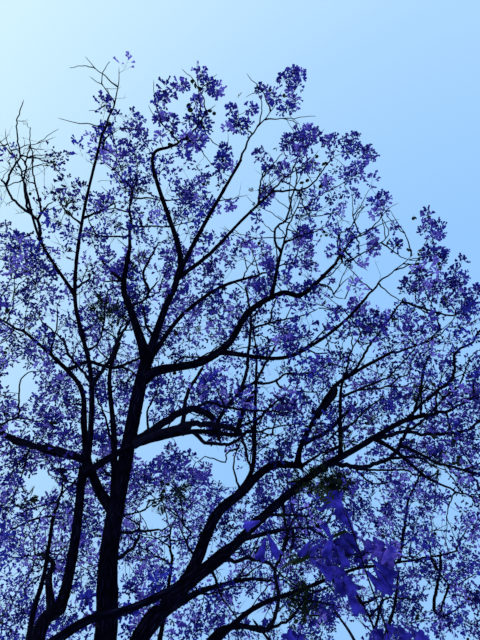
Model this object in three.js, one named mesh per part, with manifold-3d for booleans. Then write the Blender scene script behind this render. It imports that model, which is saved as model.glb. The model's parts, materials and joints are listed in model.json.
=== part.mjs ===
// A jacaranda tree in bloom, some ten metres tall, in millimetres with +Z up.
// The origin is the middle of the flat cut under the trunk, at ground level.
// A leaning trunk forks into long, winding boughs, and every bough ends in one open mass of
// twigs that carry sprays of blossom.
import * as THREE from 'three';
import { mergeVertices } from 'three/addons/utils/BufferGeometryUtils.js';
import Module from 'manifold-3d';

const wasm = await Module();
wasm.setup();

// Clearance between solids that meet, and the least room between solids that pass each other
const MEETING_GAP = 0.3;
const PASSING_GAP = 12;

// Trunk: it thins fastest near the ground, the root flare dies away with height, and lobes
// stand out of the flare between the roots
const TRUNK_TAPER_POWER = 1.5;
const FLARE_SHARE = 0.55;
const FLARE_HEIGHT = 260;
const FLARE_LOBES = 4;
const LOBE_SHARE = 0.3;
const TRUNK_SIDES = 14;
const TRUNK_RINGS = 15;
const TRUNK_RING_BUNCHING = 1.5;

// Boughs: thick limbs get more sides, and rings stand about one spacing apart
const THICK_GIRTH = 90;
const THICK_SIDES = 8;
const THIN_SIDES = 6;
const RING_SPACING = 480;
const FEWEST_RINGS = 4;

// Masses of blossom: lengths are shares of the mass's reach, angles are degrees from the stem
const CENTRE_SHARE = 0.4;
const STEM_SHARE = 0.95;
const TWIGS = 6;
const FIRST_TWIG_SHARE = 0.1;
const TWIG_SHARE = 1.0;
const SHORTEST_TWIG_SHARE = 0.42;
const TWIG_TRIM = 0.86;
const WIDEST_SPREAD = 100;
const NARROWEST_SPREAD = 42;
const TWIG_LIFT = 0.35;
const GOLDEN_ANGLE = 137.5;
const SIDE_SHOOT_AT = 0.42;
const SIDE_SHOOT_SHARE = 0.55;
const SIDE_SHOOT_SPREAD = 50;

// Shoots are three-sided. A stem is a share of its limb's tip thick, a twig a share of that
// tip too, and a side shoot a share of its twig. The jitters are whole ranges in degrees.
const SHOOT_SIDES = 3;
const STEM_GIRTH_SHARE = 0.9;
const TWIG_GIRTH_SHARE = 0.6;
const SIDE_SHOOT_GIRTH_SHARE = 0.7;
const TURN_JITTER = 40;
const SPREAD_JITTER = 16;
const FIRST_SEED = 11;

// Sprays of blossom, each standing for a cluster of panicles: shares of the mass's reach
const SPRAY_SHARE = 0.34;
const SPRAY_WIDTH_SHARE = 0.24;
const SPRAY_DEPTH_SHARE = 0.16;
const SPRAY_BELLY = 0.45;

const BARK_LOOK = { color: 0x2b2624, roughness: 0.9, metalness: 0 };
const BLOSSOM_LOOK = { color: 0x5a4fc0, roughness: 0.7, metalness: 0 };

// Every limb leaves its parent at a share of the parent's length and grows in reaches of
// [length, bearing from +X towards +Y, rise above the horizon]. Girths are diameters.
// A bloom is the reach of the mass of blossom at the limb's tip.
const LIMBS = [
  { name: 'trunk', foot: 310, tip: 155,
    reaches: [[1600, -81, 86], [1720, -95, 82], [1740, -85, 77], [810, -88, 68], [1060, -66, 62],
      [900, -62, 42], [430, -55, 45]] },
  { name: 'right_stem', from: 'trunk', at: 0.51, foot: 165, tip: 78,
    reaches: [[790, -39, 50], [790, 39, 62], [790, -17, 62], [430, 4, 45], [510, -4, 36], [490, 34, 24]] },
  { name: 'left_stem', from: 'trunk', at: 0.24, foot: 140, tip: 84,
    reaches: [[1420, -101, 66], [1420, -101, 66], [640, 108, 70], [620, -82, 77], [810, -80, 60]] },
  { name: 'left_low_bough', from: 'trunk', at: 0.76, foot: 118, tip: 40, bloom: 1400,
    reaches: [[380, -160, 55], [420, -120, 50], [300, -170, 46], [490, -176, 38], [780, -159, 31],
      [400, -151, 26]] },
  { name: 'left_bough', from: 'left_low_bough', at: 0.29, foot: 80, tip: 36, bloom: 1400,
    reaches: [[490, -95, 55], [540, -89, 48], [640, -129, 39], [720, -134, 34]] },
  { name: 'top_left_bough', from: 'left_stem', at: 0.96, foot: 70, tip: 28, bloom: 900,
    reaches: [[480, -68, 57], [870, -79, 43], [990, -89, 30], [980, -66, 12], [1100, -56, 0]] },
  { name: 'bare_left_bough', from: 'top_left_bough', at: 0.54, foot: 44, tip: 26, bloom: 1000,
    reaches: [[890, -110, 27], [780, -91, 21]] },
  { name: 'crossing_bough', from: 'left_stem', at: 0.98, foot: 78, tip: 46, bloom: 1250,
    reaches: [[520, -15, 0], [350, 5, 17], [560, 27, 33], [570, 44, 32], [300, 45, 43]] },
  { name: 'leader_bough', from: 'trunk', at: 0.75, foot: 84, tip: 40, bloom: 1450,
    reaches: [[1060, -89, 63], [1010, -96, 63], [830, -67, 76]] },
  { name: 'upright_bough', from: 'right_stem', at: 0.72, foot: 60, tip: 34, bloom: 1250,
    reaches: [[420, -20, 50], [600, -63, 46], [830, -62, 54]] },
  { name: 'inner_bough', from: 'trunk', at: 0.985, foot: 122, tip: 50, bloom: 1400,
    reaches: [[760, -95, 32], [390, -99, 51], [600, -65, 30]] },
  { name: 'overhead_bough', from: 'trunk', at: 0.99, foot: 104, tip: 34, bloom: 1100,
    reaches: [[690, -52, 36], [450, -49, 26], [410, -68, 14], [1140, -88, -5], [350, -25, 18]] },
  { name: 'right_tip_bough', from: 'overhead_bough', at: 0.4, foot: 62, tip: 32, bloom: 1150,
    reaches: [[690, -44, 0], [1000, -42, 3]] },
  { name: 'right_arc_bough', from: 'overhead_bough', at: 0.37, foot: 58, tip: 32, bloom: 1150,
    reaches: [[590, -17, 24], [720, -26, 24], [620, -24, 16]] },
  { name: 'middle_bough', from: 'trunk', at: 0.97, foot: 66, tip: 36, bloom: 1400,
    reaches: [[730, -33, 43], [440, -20, 43], [550, -10, 33], [560, 6, 32]] },
  { name: 'long_bough', from: 'trunk', at: 0.95, foot: 116, tip: 44, bloom: 1250,
    reaches: [[250, -5, 24], [560, 14, 21], [440, -13, 13], [500, -38, 11], [500, -9, 12],
      [330, 23, 17], [800, -15, 34]] },
  { name: 'long_bough_spur', from: 'long_bough', at: 0.62, foot: 48, tip: 30, bloom: 1150,
    reaches: [[520, -60, 11], [220, -55, 16]] },
  { name: 'outer_bough', from: 'long_bough', at: 0.32, foot: 62, tip: 32, bloom: 1250,
    reaches: [[800, 25, 0], [510, -5, 0], [520, -21, 0], [400, -30, 5]] },
  { name: 'right_rising_bough', from: 'right_stem', at: 0.98, foot: 68, tip: 36, bloom: 1300,
    reaches: [[320, -46, 39], [800, -32, 30], [510, -8, 23], [600, -2, 19]] },
  { name: 'right_low_bough', from: 'right_stem', at: 0.42, foot: 108, tip: 52, bloom: 1400,
    reaches: [[460, 17, 41], [660, -2, 38], [830, -5, 29], [580, 0, 20], [760, 2, 23], [420, 16, 22]] },
  { name: 'right_spur', from: 'right_low_bough', at: 0.62, foot: 50, tip: 30, bloom: 1200,
    reaches: [[770, -66, 31], [250, -50, 20]] },
  { name: 'right_drooping_bough', from: 'right_low_bough', at: 0.76, foot: 54, tip: 32, bloom: 1300,
    reaches: [[430, 54, 13], [640, 60, 9], [300, 52, 9]] },
  { name: 'front_bough', from: 'left_stem', at: 0.56, foot: 72, tip: 36, bloom: 850,
    reaches: [[400, -9, 14], [300, 22, 20], [340, 15, 26], [290, 5, 31], [390, 2, 31], [480, 24, 25]] },
  { name: 'lower_bough', from: 'trunk', at: 0.44, foot: 84, tip: 36, bloom: 1350,
    reaches: [[1100, 43, 65], [1100, 43, 65], [470, 46, 39], [740, 70, 33], [440, 6, 65], [340, -72, 62],
      [300, -21, 56]] },
  { name: 'slim_stem', from: 'trunk', at: 0.13, foot: 88, tip: 38, bloom: 1250,
    reaches: [[1440, -133, 76], [1440, -133, 76], [1440, -133, 76], [810, 164, 80], [830, -108, 76]] },
  { name: 'far_left_bough', from: 'trunk', at: 0.36, foot: 110, tip: 42, bloom: 1450,
    reaches: [[1200, 150, 62], [1200, 138, 56], [1200, 158, 50], [1100, 144, 44], [700, 152, 36]] },
  { name: 'far_back_bough', from: 'trunk', at: 0.47, foot: 106, tip: 42, bloom: 1450,
    reaches: [[1120, 110, 58], [1240, 84, 63], [1130, 101, 69], [1010, -45, 82]] },
  { name: 'far_middle_bough', from: 'trunk', at: 0.57, foot: 98, tip: 42, bloom: 1450,
    reaches: [[1000, 76, 62], [1000, 60, 54], [1000, 76, 48], [900, 62, 42], [500, 70, 38]] },
  { name: 'far_right_bough', from: 'lower_bough', at: 0.42, foot: 62, tip: 36, bloom: 1450,
    reaches: [[900, 30, 48], [1000, 44, 38], [1000, 30, 30], [500, 38, 26]] },
  { name: 'back_left_bough', from: 'left_stem', at: 0.66, foot: 72, tip: 36, bloom: 1400,
    reaches: [[800, 150, 62], [900, 132, 56], [900, 142, 50], [400, 136, 44]] },
  { name: 'low_bough', from: 'trunk', at: 0.27, foot: 62, tip: 22, bloom: 620,
    reaches: [[700, -36, 40], [800, -48, 20], [1000, -42, 0], [600, -52, -18], [400, -90, -28]] },
];

// A seeded stream of numbers from 0 to 1
function dice(seed) {
  let state = seed | 0;
  return () => {
    state = (state + 0x6d2b79f5) | 0;
    let mixed = Math.imul(state ^ (state >>> 15), 1 | state);
    mixed = (mixed + Math.imul(mixed ^ (mixed >>> 7), 61 | mixed)) ^ mixed;
    return ((mixed ^ (mixed >>> 14)) >>> 0) / 4294967296;
  };
}

function direction(bearing, rise) {
  const b = THREE.MathUtils.degToRad(bearing);
  const r = THREE.MathUtils.degToRad(rise);
  return new THREE.Vector3(Math.cos(r) * Math.cos(b), Math.cos(r) * Math.sin(b), Math.sin(r));
}

// A closed geometry as a solid that can be joined and cut
function solidOf(geometry) {
  const bare = geometry.clone();
  bare.deleteAttribute('normal');
  bare.deleteAttribute('uv');
  const merged = mergeVertices(bare, 1e-3);
  const vertProperties = new Float32Array(merged.attributes.position.array);
  const triVerts = new Uint32Array(merged.index.array);
  return new wasm.Manifold(new wasm.Mesh({ numProp: 3, vertProperties, triVerts }));
}

function geometryOf(solid) {
  const mesh = solid.getMesh();
  const geometry = new THREE.BufferGeometry();
  geometry.setAttribute('position', new THREE.BufferAttribute(new Float32Array(mesh.vertProperties), 3));
  geometry.setIndex(new THREE.BufferAttribute(new Uint32Array(mesh.triVerts), 1));
  geometry.computeVertexNormals();
  return geometry;
}

// The largest body of a solid: loose scraps are dropped
function largestOf(solid) {
  const bodies = solid.decompose();
  bodies.sort((a, b) => b.volume() - a.volume());
  return bodies[0];
}

// Places along a curve at even or bunched shares of its length, each with its tangent and two
// side directions that are carried along the curve without twisting
function placesAlong(curve, count, bunching = 1) {
  const places = [];
  let side = new THREE.Vector3(0, 1, 0);
  for (let i = 0; i <= count; i++) {
    const share = (i / count) ** bunching;
    const tangent = curve.getTangentAt(share).normalize();
    side = side.clone().addScaledVector(tangent, -side.dot(tangent)).normalize();
    const across = side.clone().cross(tangent);
    places.push({ share, point: curve.getPointAt(share), tangent, side, across });
  }
  return places;
}

// A closed tube: a cylinder whose rings are carried to the places along a curve.
// radiusAt gives the radius at a place and an angle, grow widens and lengthens the tube, and a
// pointed tube ends in a point.
function tubeAlong(places, sides, radiusAt, { grow = 0, pointed = false } = {}) {
  const rings = places.length - 1;
  const tube = new THREE.CylinderGeometry(pointed ? 0 : 1, 1, rings, sides, rings);
  const position = tube.attributes.position;
  for (let i = 0; i < position.count; i++) {
    const ring = Math.round(position.getY(i) + rings / 2);
    const { point, tangent, side, across } = places[ring];
    const lengthening = ring === 0 ? -grow : ring === rings ? grow : 0;
    const spot = point.clone().addScaledVector(tangent, lengthening);
    const radial = new THREE.Vector2(position.getX(i), position.getZ(i));
    if (radial.length() > 1e-6) {
      radial.setLength(radiusAt(places[ring], radial.angle()) + grow);
      spot.addScaledVector(side, radial.x).addScaledVector(across, radial.y);
    }
    position.setXYZ(i, spot.x, spot.y, spot.z);
  }
  return tube;
}

// Works out a limb's curve, girths and places from its reaches and its parent
function layOut(limb, limbs) {
  const parent = limbs.get(limb.from);
  const joints = [parent ? parent.curve.getPointAt(limb.at) : new THREE.Vector3()];
  for (const [length, bearing, rise] of limb.reaches) {
    joints.push(joints.at(-1).clone().addScaledVector(direction(bearing, rise), length));
  }
  const curve = new THREE.CatmullRomCurve3(joints, false, 'catmullrom', 0.5);
  const power = parent ? 1 : TRUNK_TAPER_POWER;
  const radiusAlong = (share) => (limb.tip + (limb.foot - limb.tip) * (1 - share) ** power) / 2;
  const rings = parent ? Math.max(FEWEST_RINGS, Math.round(curve.getLength() / RING_SPACING)) : TRUNK_RINGS;
  const places = placesAlong(curve, rings, parent ? 1 : TRUNK_RING_BUNCHING);
  return { ...limb, parent, curve, radiusAlong, places };
}

// The trunk's radius swells into the root flare, in lobes between the roots
function trunkRadius(trunk, place, angle) {
  const flare = FLARE_SHARE * Math.exp(-place.point.z / FLARE_HEIGHT);
  return trunk.radiusAlong(place.share) * (1 + flare * (1 + LOBE_SHARE * Math.cos(FLARE_LOBES * angle)));
}

// The trunk's tube, with its lowest ring pressed flat onto the ground
function trunkTube(trunk, grow) {
  const radiusAt = (place, angle) => trunkRadius(trunk, place, angle);
  const tube = tubeAlong(trunk.places, TRUNK_SIDES, radiusAt, { grow });
  const position = tube.attributes.position;
  const belowSecondRing = trunk.places[1].point.z / 2;
  for (let i = 0; i < position.count; i++) {
    if (position.getZ(i) < belowSecondRing) position.setZ(i, 0);
  }
  return tube;
}

function limbTube(limb, grow = 0) {
  if (!limb.parent) return trunkTube(limb, grow);
  const sides = limb.foot > THICK_GIRTH ? THICK_SIDES : THIN_SIDES;
  return tubeAlong(limb.places, sides, (place) => limb.radiusAlong(place.share), { grow });
}

function boundsMeet(a, b) {
  const one = a.boundingBox();
  const two = b.boundingBox();
  return [0, 1, 2].every((k) => one.min[k] < two.max[k] && one.max[k] > two.min[k]);
}

// A limb's solid: its tube, cut clear of its parent and of the limbs made before it
function limbSolid(limb, grownLimbs) {
  let solid = solidOf(limbTube(limb));
  for (const grown of grownLimbs) {
    if (boundsMeet(solid, grown)) solid = solid.subtract(grown);
  }
  return largestOf(solid);
}

// The least distance between the straight pieces a-b and c-d
function distanceBetween(a, b, c, d) {
  const u = b.clone().sub(a);
  const v = d.clone().sub(c);
  const w = a.clone().sub(c);
  const uu = u.dot(u);
  const uv = u.dot(v);
  const vv = v.dot(v);
  const uw = u.dot(w);
  const vw = v.dot(w);
  const spread = uu * vv - uv * uv;
  let s = spread > 1e-9 ? THREE.MathUtils.clamp((uv * vw - vv * uw) / spread, 0, 1) : 0;
  const t = THREE.MathUtils.clamp((uv * s + vw) / vv, 0, 1);
  s = THREE.MathUtils.clamp((uv * t - uw) / uu, 0, 1);
  return a.clone().addScaledVector(u, s).distanceTo(c.clone().addScaledVector(v, t));
}

// True if a round piece from a to b has room to pass a limb
function passes(a, b, radius, limb) {
  return limb.places.slice(1).every((after, i) => {
    const before = limb.places[i];
    const room = distanceBetween(a, b, before.point, after.point) - limb.radiusAlong(before.share) - radius;
    return room > PASSING_GAP;
  });
}

// The space a mass keeps to: a ball round its centre, cut off short of every other mass's ball
function isInside(point, mass, masses) {
  const excess = (m) => point.distanceToSquared(m.centre) - m.bloom ** 2;
  const own = excess(mass);
  return own < 0 && masses.every((other) => other === mass
    || excess(other) - own > 2 * PASSING_GAP * other.centre.distanceTo(mass.centre));
}

// A straight shoot from its root to the tip of the spray that it ends in. The spray is a flat,
// pointed body, so each place along the shoot has a half-width and a half-depth.
function makeShoot(root, tip, girth, bloom, roll) {
  const tangent = tip.clone().sub(root).normalize();
  const level = new THREE.Vector3(0, 0, 1).cross(tangent).normalize();
  const side = level.applyAxisAngle(tangent, roll);
  const across = side.clone().cross(tangent);
  const neck = 1 - (SPRAY_SHARE * bloom) / root.distanceTo(tip);
  const belly = neck + SPRAY_BELLY * (1 - neck);
  const sizes = [
    [0, girth / 2, girth / 2],
    [neck, girth / 3, girth / 3],
    [belly, (SPRAY_WIDTH_SHARE * bloom) / 2, (SPRAY_DEPTH_SHARE * bloom) / 2],
    [1, 0, 0],
  ];
  const places = sizes.map(([share, halfWidth, halfDepth]) => (
    { point: root.clone().lerp(tip, share), tangent, side, across, halfWidth, halfDepth }));
  const radiusAt = (place, angle) => (
    THREE.MathUtils.lerp(place.halfDepth, place.halfWidth, Math.abs(Math.cos(angle))));
  return { places, girth, geometry: tubeAlong(places, SHOOT_SIDES, radiusAt, { pointed: true }) };
}

// True if a shoot stays in its mass's space and passes the limbs. Its first stretch is left out
// of the second test, because it is inside the piece that the shoot grows from.
function fits(shoot, mass, masses, limbs) {
  const position = shoot.geometry.attributes.position;
  const corner = new THREE.Vector3();
  for (let i = 0; i < position.count; i++) {
    if (!isInside(corner.fromBufferAttribute(position, i), mass, masses)) return false;
  }
  const [root, neck, belly, tip] = shoot.places;
  const start = root.point.clone().addScaledVector(root.tangent, mass.girth);
  return limbs.every((limb) => passes(start, neck.point, shoot.girth / 2, limb)
    && passes(neck.point, tip.point, belly.halfWidth, limb));
}

// A direction that leans away from an axis by a spread, turned round the axis, and lifted
function leaning(axis, turn, spread, lift) {
  const up = new THREE.Vector3(0, 0, 1);
  const side = axis.clone().cross(up).normalize().applyAxisAngle(axis, THREE.MathUtils.degToRad(turn));
  const lean = THREE.MathUtils.degToRad(spread);
  return side.multiplyScalar(Math.sin(lean)).addScaledVector(axis, Math.cos(lean))
    .addScaledVector(up, lift).normalize();
}

// Grows one mass: a stem that carries on from the limb's tip, twigs that leave it at the golden
// angle, and a side shoot on every twig, each ending in a spray of blossom. A shoot that would
// leave the mass's space or touch a limb is trimmed, and skipped if it gets too short.
function massSolid(mass, masses, limbs) {
  const roll = dice(mass.seed);
  const pieces = [];
  const grow = (root, along, reach, girth, crossed) => {
    const turn = Math.PI * roll();
    for (let length = reach; length > SHORTEST_TWIG_SHARE * mass.bloom; length *= TWIG_TRIM) {
      const tip = root.clone().addScaledVector(along, length);
      const shoot = makeShoot(root, tip, girth, mass.bloom, turn);
      if (fits(shoot, mass, masses, crossed)) {
        pieces.push(solidOf(shoot.geometry));
        return tip;
      }
    }
    return null;
  };
  const root = mass.tip.clone().addScaledVector(mass.heading, MEETING_GAP);
  const others = limbs.filter((limb) => limb.name !== mass.bough);
  const end = grow(root, mass.heading, mass.bloom * STEM_SHARE, mass.girth * STEM_GIRTH_SHARE, others);
  for (let i = 0; i < TWIGS; i++) {
    const share = FIRST_TWIG_SHARE + ((1 - SPRAY_SHARE - FIRST_TWIG_SHARE) * i) / (TWIGS - 1);
    const evenSpread = THREE.MathUtils.lerp(WIDEST_SPREAD, NARROWEST_SPREAD, share);
    const spread = evenSpread + SPREAD_JITTER * (roll() - 0.5);
    const along = leaning(mass.heading, GOLDEN_ANGLE * i + TURN_JITTER * roll(), spread, TWIG_LIFT * roll());
    const foot = root.clone().lerp(end, share);
    const girth = mass.girth * TWIG_GIRTH_SHARE;
    const tip = grow(foot, along, mass.bloom * TWIG_SHARE, girth, limbs);
    const aside = leaning(along, 360 * roll(), SIDE_SHOOT_SPREAD, TWIG_LIFT * roll());
    if (!tip) continue;
    const knot = foot.clone().lerp(tip, SIDE_SHOOT_AT);
    grow(knot, aside, mass.bloom * SIDE_SHOOT_SHARE, girth * SIDE_SHOOT_GIRTH_SHARE, limbs);
  }
  return largestOf(wasm.Manifold.union(pieces));
}

function meshOf(name, solid, look) {
  const mesh = new THREE.Mesh(geometryOf(solid), new THREE.MeshStandardMaterial(look));
  mesh.name = name;
  return mesh;
}

const tree = new THREE.Group();
const limbs = new Map();
const grownLimbs = [];
for (const row of LIMBS) {
  const limb = layOut(row, limbs);
  limbs.set(limb.name, limb);
  tree.add(meshOf(limb.name, limbSolid(limb, grownLimbs), BARK_LOOK));
  grownLimbs.push(solidOf(limbTube(limb, MEETING_GAP)));
}

const masses = [...limbs.values()].filter((limb) => limb.bloom).map((limb, index) => {
  const tip = limb.curve.getPointAt(1);
  const heading = limb.curve.getTangentAt(1).normalize();
  const centre = tip.clone().addScaledVector(heading, limb.bloom * CENTRE_SHARE);
  const seed = FIRST_SEED + index;
  return { bough: limb.name, bloom: limb.bloom, girth: limb.tip, tip, heading, centre, seed };
});
for (const mass of masses) {
  tree.add(meshOf('bloom_' + mass.bough, massSolid(mass, masses, [...limbs.values()]), BLOSSOM_LOOK));
}

export default tree;
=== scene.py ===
"""A jacaranda tree in full bloom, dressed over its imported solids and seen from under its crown.

Lengths are metres with +Z up. The origin is the middle of the flat cut under the trunk. The limbs
and the first twigs follow the rule that the solids follow, and finer twigs, panicles, leaves and
pods grow on from them inside the same reach.
"""
import json
import logging
import math
from dataclasses import dataclass, field
from enum import Enum

import bpy
import numpy as np
from mathutils import Matrix, Vector, noise

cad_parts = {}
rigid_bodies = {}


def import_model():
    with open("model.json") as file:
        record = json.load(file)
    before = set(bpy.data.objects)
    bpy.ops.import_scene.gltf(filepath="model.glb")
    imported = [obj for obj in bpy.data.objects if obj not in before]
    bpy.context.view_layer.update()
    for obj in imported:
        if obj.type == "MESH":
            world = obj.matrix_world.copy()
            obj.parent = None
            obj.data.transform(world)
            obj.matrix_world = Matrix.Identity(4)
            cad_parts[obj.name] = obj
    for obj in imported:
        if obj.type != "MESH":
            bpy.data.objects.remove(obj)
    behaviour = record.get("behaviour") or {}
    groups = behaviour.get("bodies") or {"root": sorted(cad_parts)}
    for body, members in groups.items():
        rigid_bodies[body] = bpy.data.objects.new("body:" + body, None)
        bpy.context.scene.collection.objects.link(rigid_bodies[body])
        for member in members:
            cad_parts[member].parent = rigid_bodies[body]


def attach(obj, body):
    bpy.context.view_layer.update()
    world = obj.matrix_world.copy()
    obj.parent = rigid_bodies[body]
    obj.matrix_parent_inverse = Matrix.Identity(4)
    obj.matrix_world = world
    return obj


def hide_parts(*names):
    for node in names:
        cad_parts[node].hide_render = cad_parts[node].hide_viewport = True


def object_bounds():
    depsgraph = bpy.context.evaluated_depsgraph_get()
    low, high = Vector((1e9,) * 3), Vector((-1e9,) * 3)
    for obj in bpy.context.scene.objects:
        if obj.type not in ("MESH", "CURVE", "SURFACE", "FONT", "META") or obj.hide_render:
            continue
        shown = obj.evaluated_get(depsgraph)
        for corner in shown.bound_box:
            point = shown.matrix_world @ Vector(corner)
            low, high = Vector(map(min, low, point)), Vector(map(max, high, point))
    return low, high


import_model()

CAD_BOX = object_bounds()
BOX_LOW, BOX_HIGH = (np.array([float(c) for c in corner]) for corner in CAD_BOX)
LOG = logging.getLogger("jacaranda")

# Short names for types
Array = np.ndarray
Rng = np.random.RandomState
Material = bpy.types.Material
Socket = bpy.types.NodeSocket
Pair = tuple[float, float]
Triple = tuple[float, float, float]
Reach = Triple
Colour = Triple

UP = np.array([0.0, 0.0, 1.0])

# The solids' growing rule: clearances, the trunk's taper and flare, and how rings are spaced
MEETING_GAP = 0.0003
PASSING_GAP = 0.012
TRUNK_TAPER_POWER = 1.5
FLARE_SHARE = 0.55
FLARE_HEIGHT = 0.26
FLARE_LOBES = 4
LOBE_SHARE = 0.3
TRUNK_RINGS = 15
TRUNK_RING_BUNCHING = 1.5
RING_SPACING = 0.48
FEWEST_RINGS = 4
ARC_STEPS = 200
TANGENT_STEP = 0.0001
TENSION = 0.5
PARALLEL = 1e-15

# The solids' masses: lengths are shares of a mass's reach, angles are degrees from the stem
CENTRE_SHARE = 0.4
STEM_SHARE = 0.95
TWIGS = 6
FIRST_TWIG_SHARE = 0.1
TWIG_SHARE = 1.0
SHORTEST_TWIG_SHARE = 0.42
TWIG_TRIM = 0.86
WIDEST_SPREAD = 100.0
NARROWEST_SPREAD = 42.0
TWIG_LIFT = 0.35
GOLDEN_ANGLE = 137.5
SIDE_SHOOT_AT = 0.42
SIDE_SHOOT_SHARE = 0.55
SIDE_SHOOT_SPREAD = 50.0
STEM_GIRTH_SHARE = 0.9
TWIG_GIRTH_SHARE = 0.6
SIDE_SHOOT_GIRTH_SHARE = 0.7
TURN_JITTER = 40.0
SPREAD_JITTER = 16.0
FIRST_SEED = 11
SPRAY_SHARE = 0.34
SPRAY_WIDTH_SHARE = 0.24
SPRAY_DEPTH_SHARE = 0.16
SPRAY_BELLY = 0.45
SPRAY_CORNERS = (90.0, -30.0, 210.0)


@dataclass(frozen=True)
class LimbRow:
    """One limb: its girths, the parent and the share of its length where it leaves that parent,
    the reach of its mass of blossom (0 for none), and its reaches of (length, bearing, rise)."""

    name: str
    foot: float
    tip: float
    parent: str
    at: float
    bloom: float
    reaches: tuple[Reach, ...]


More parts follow.
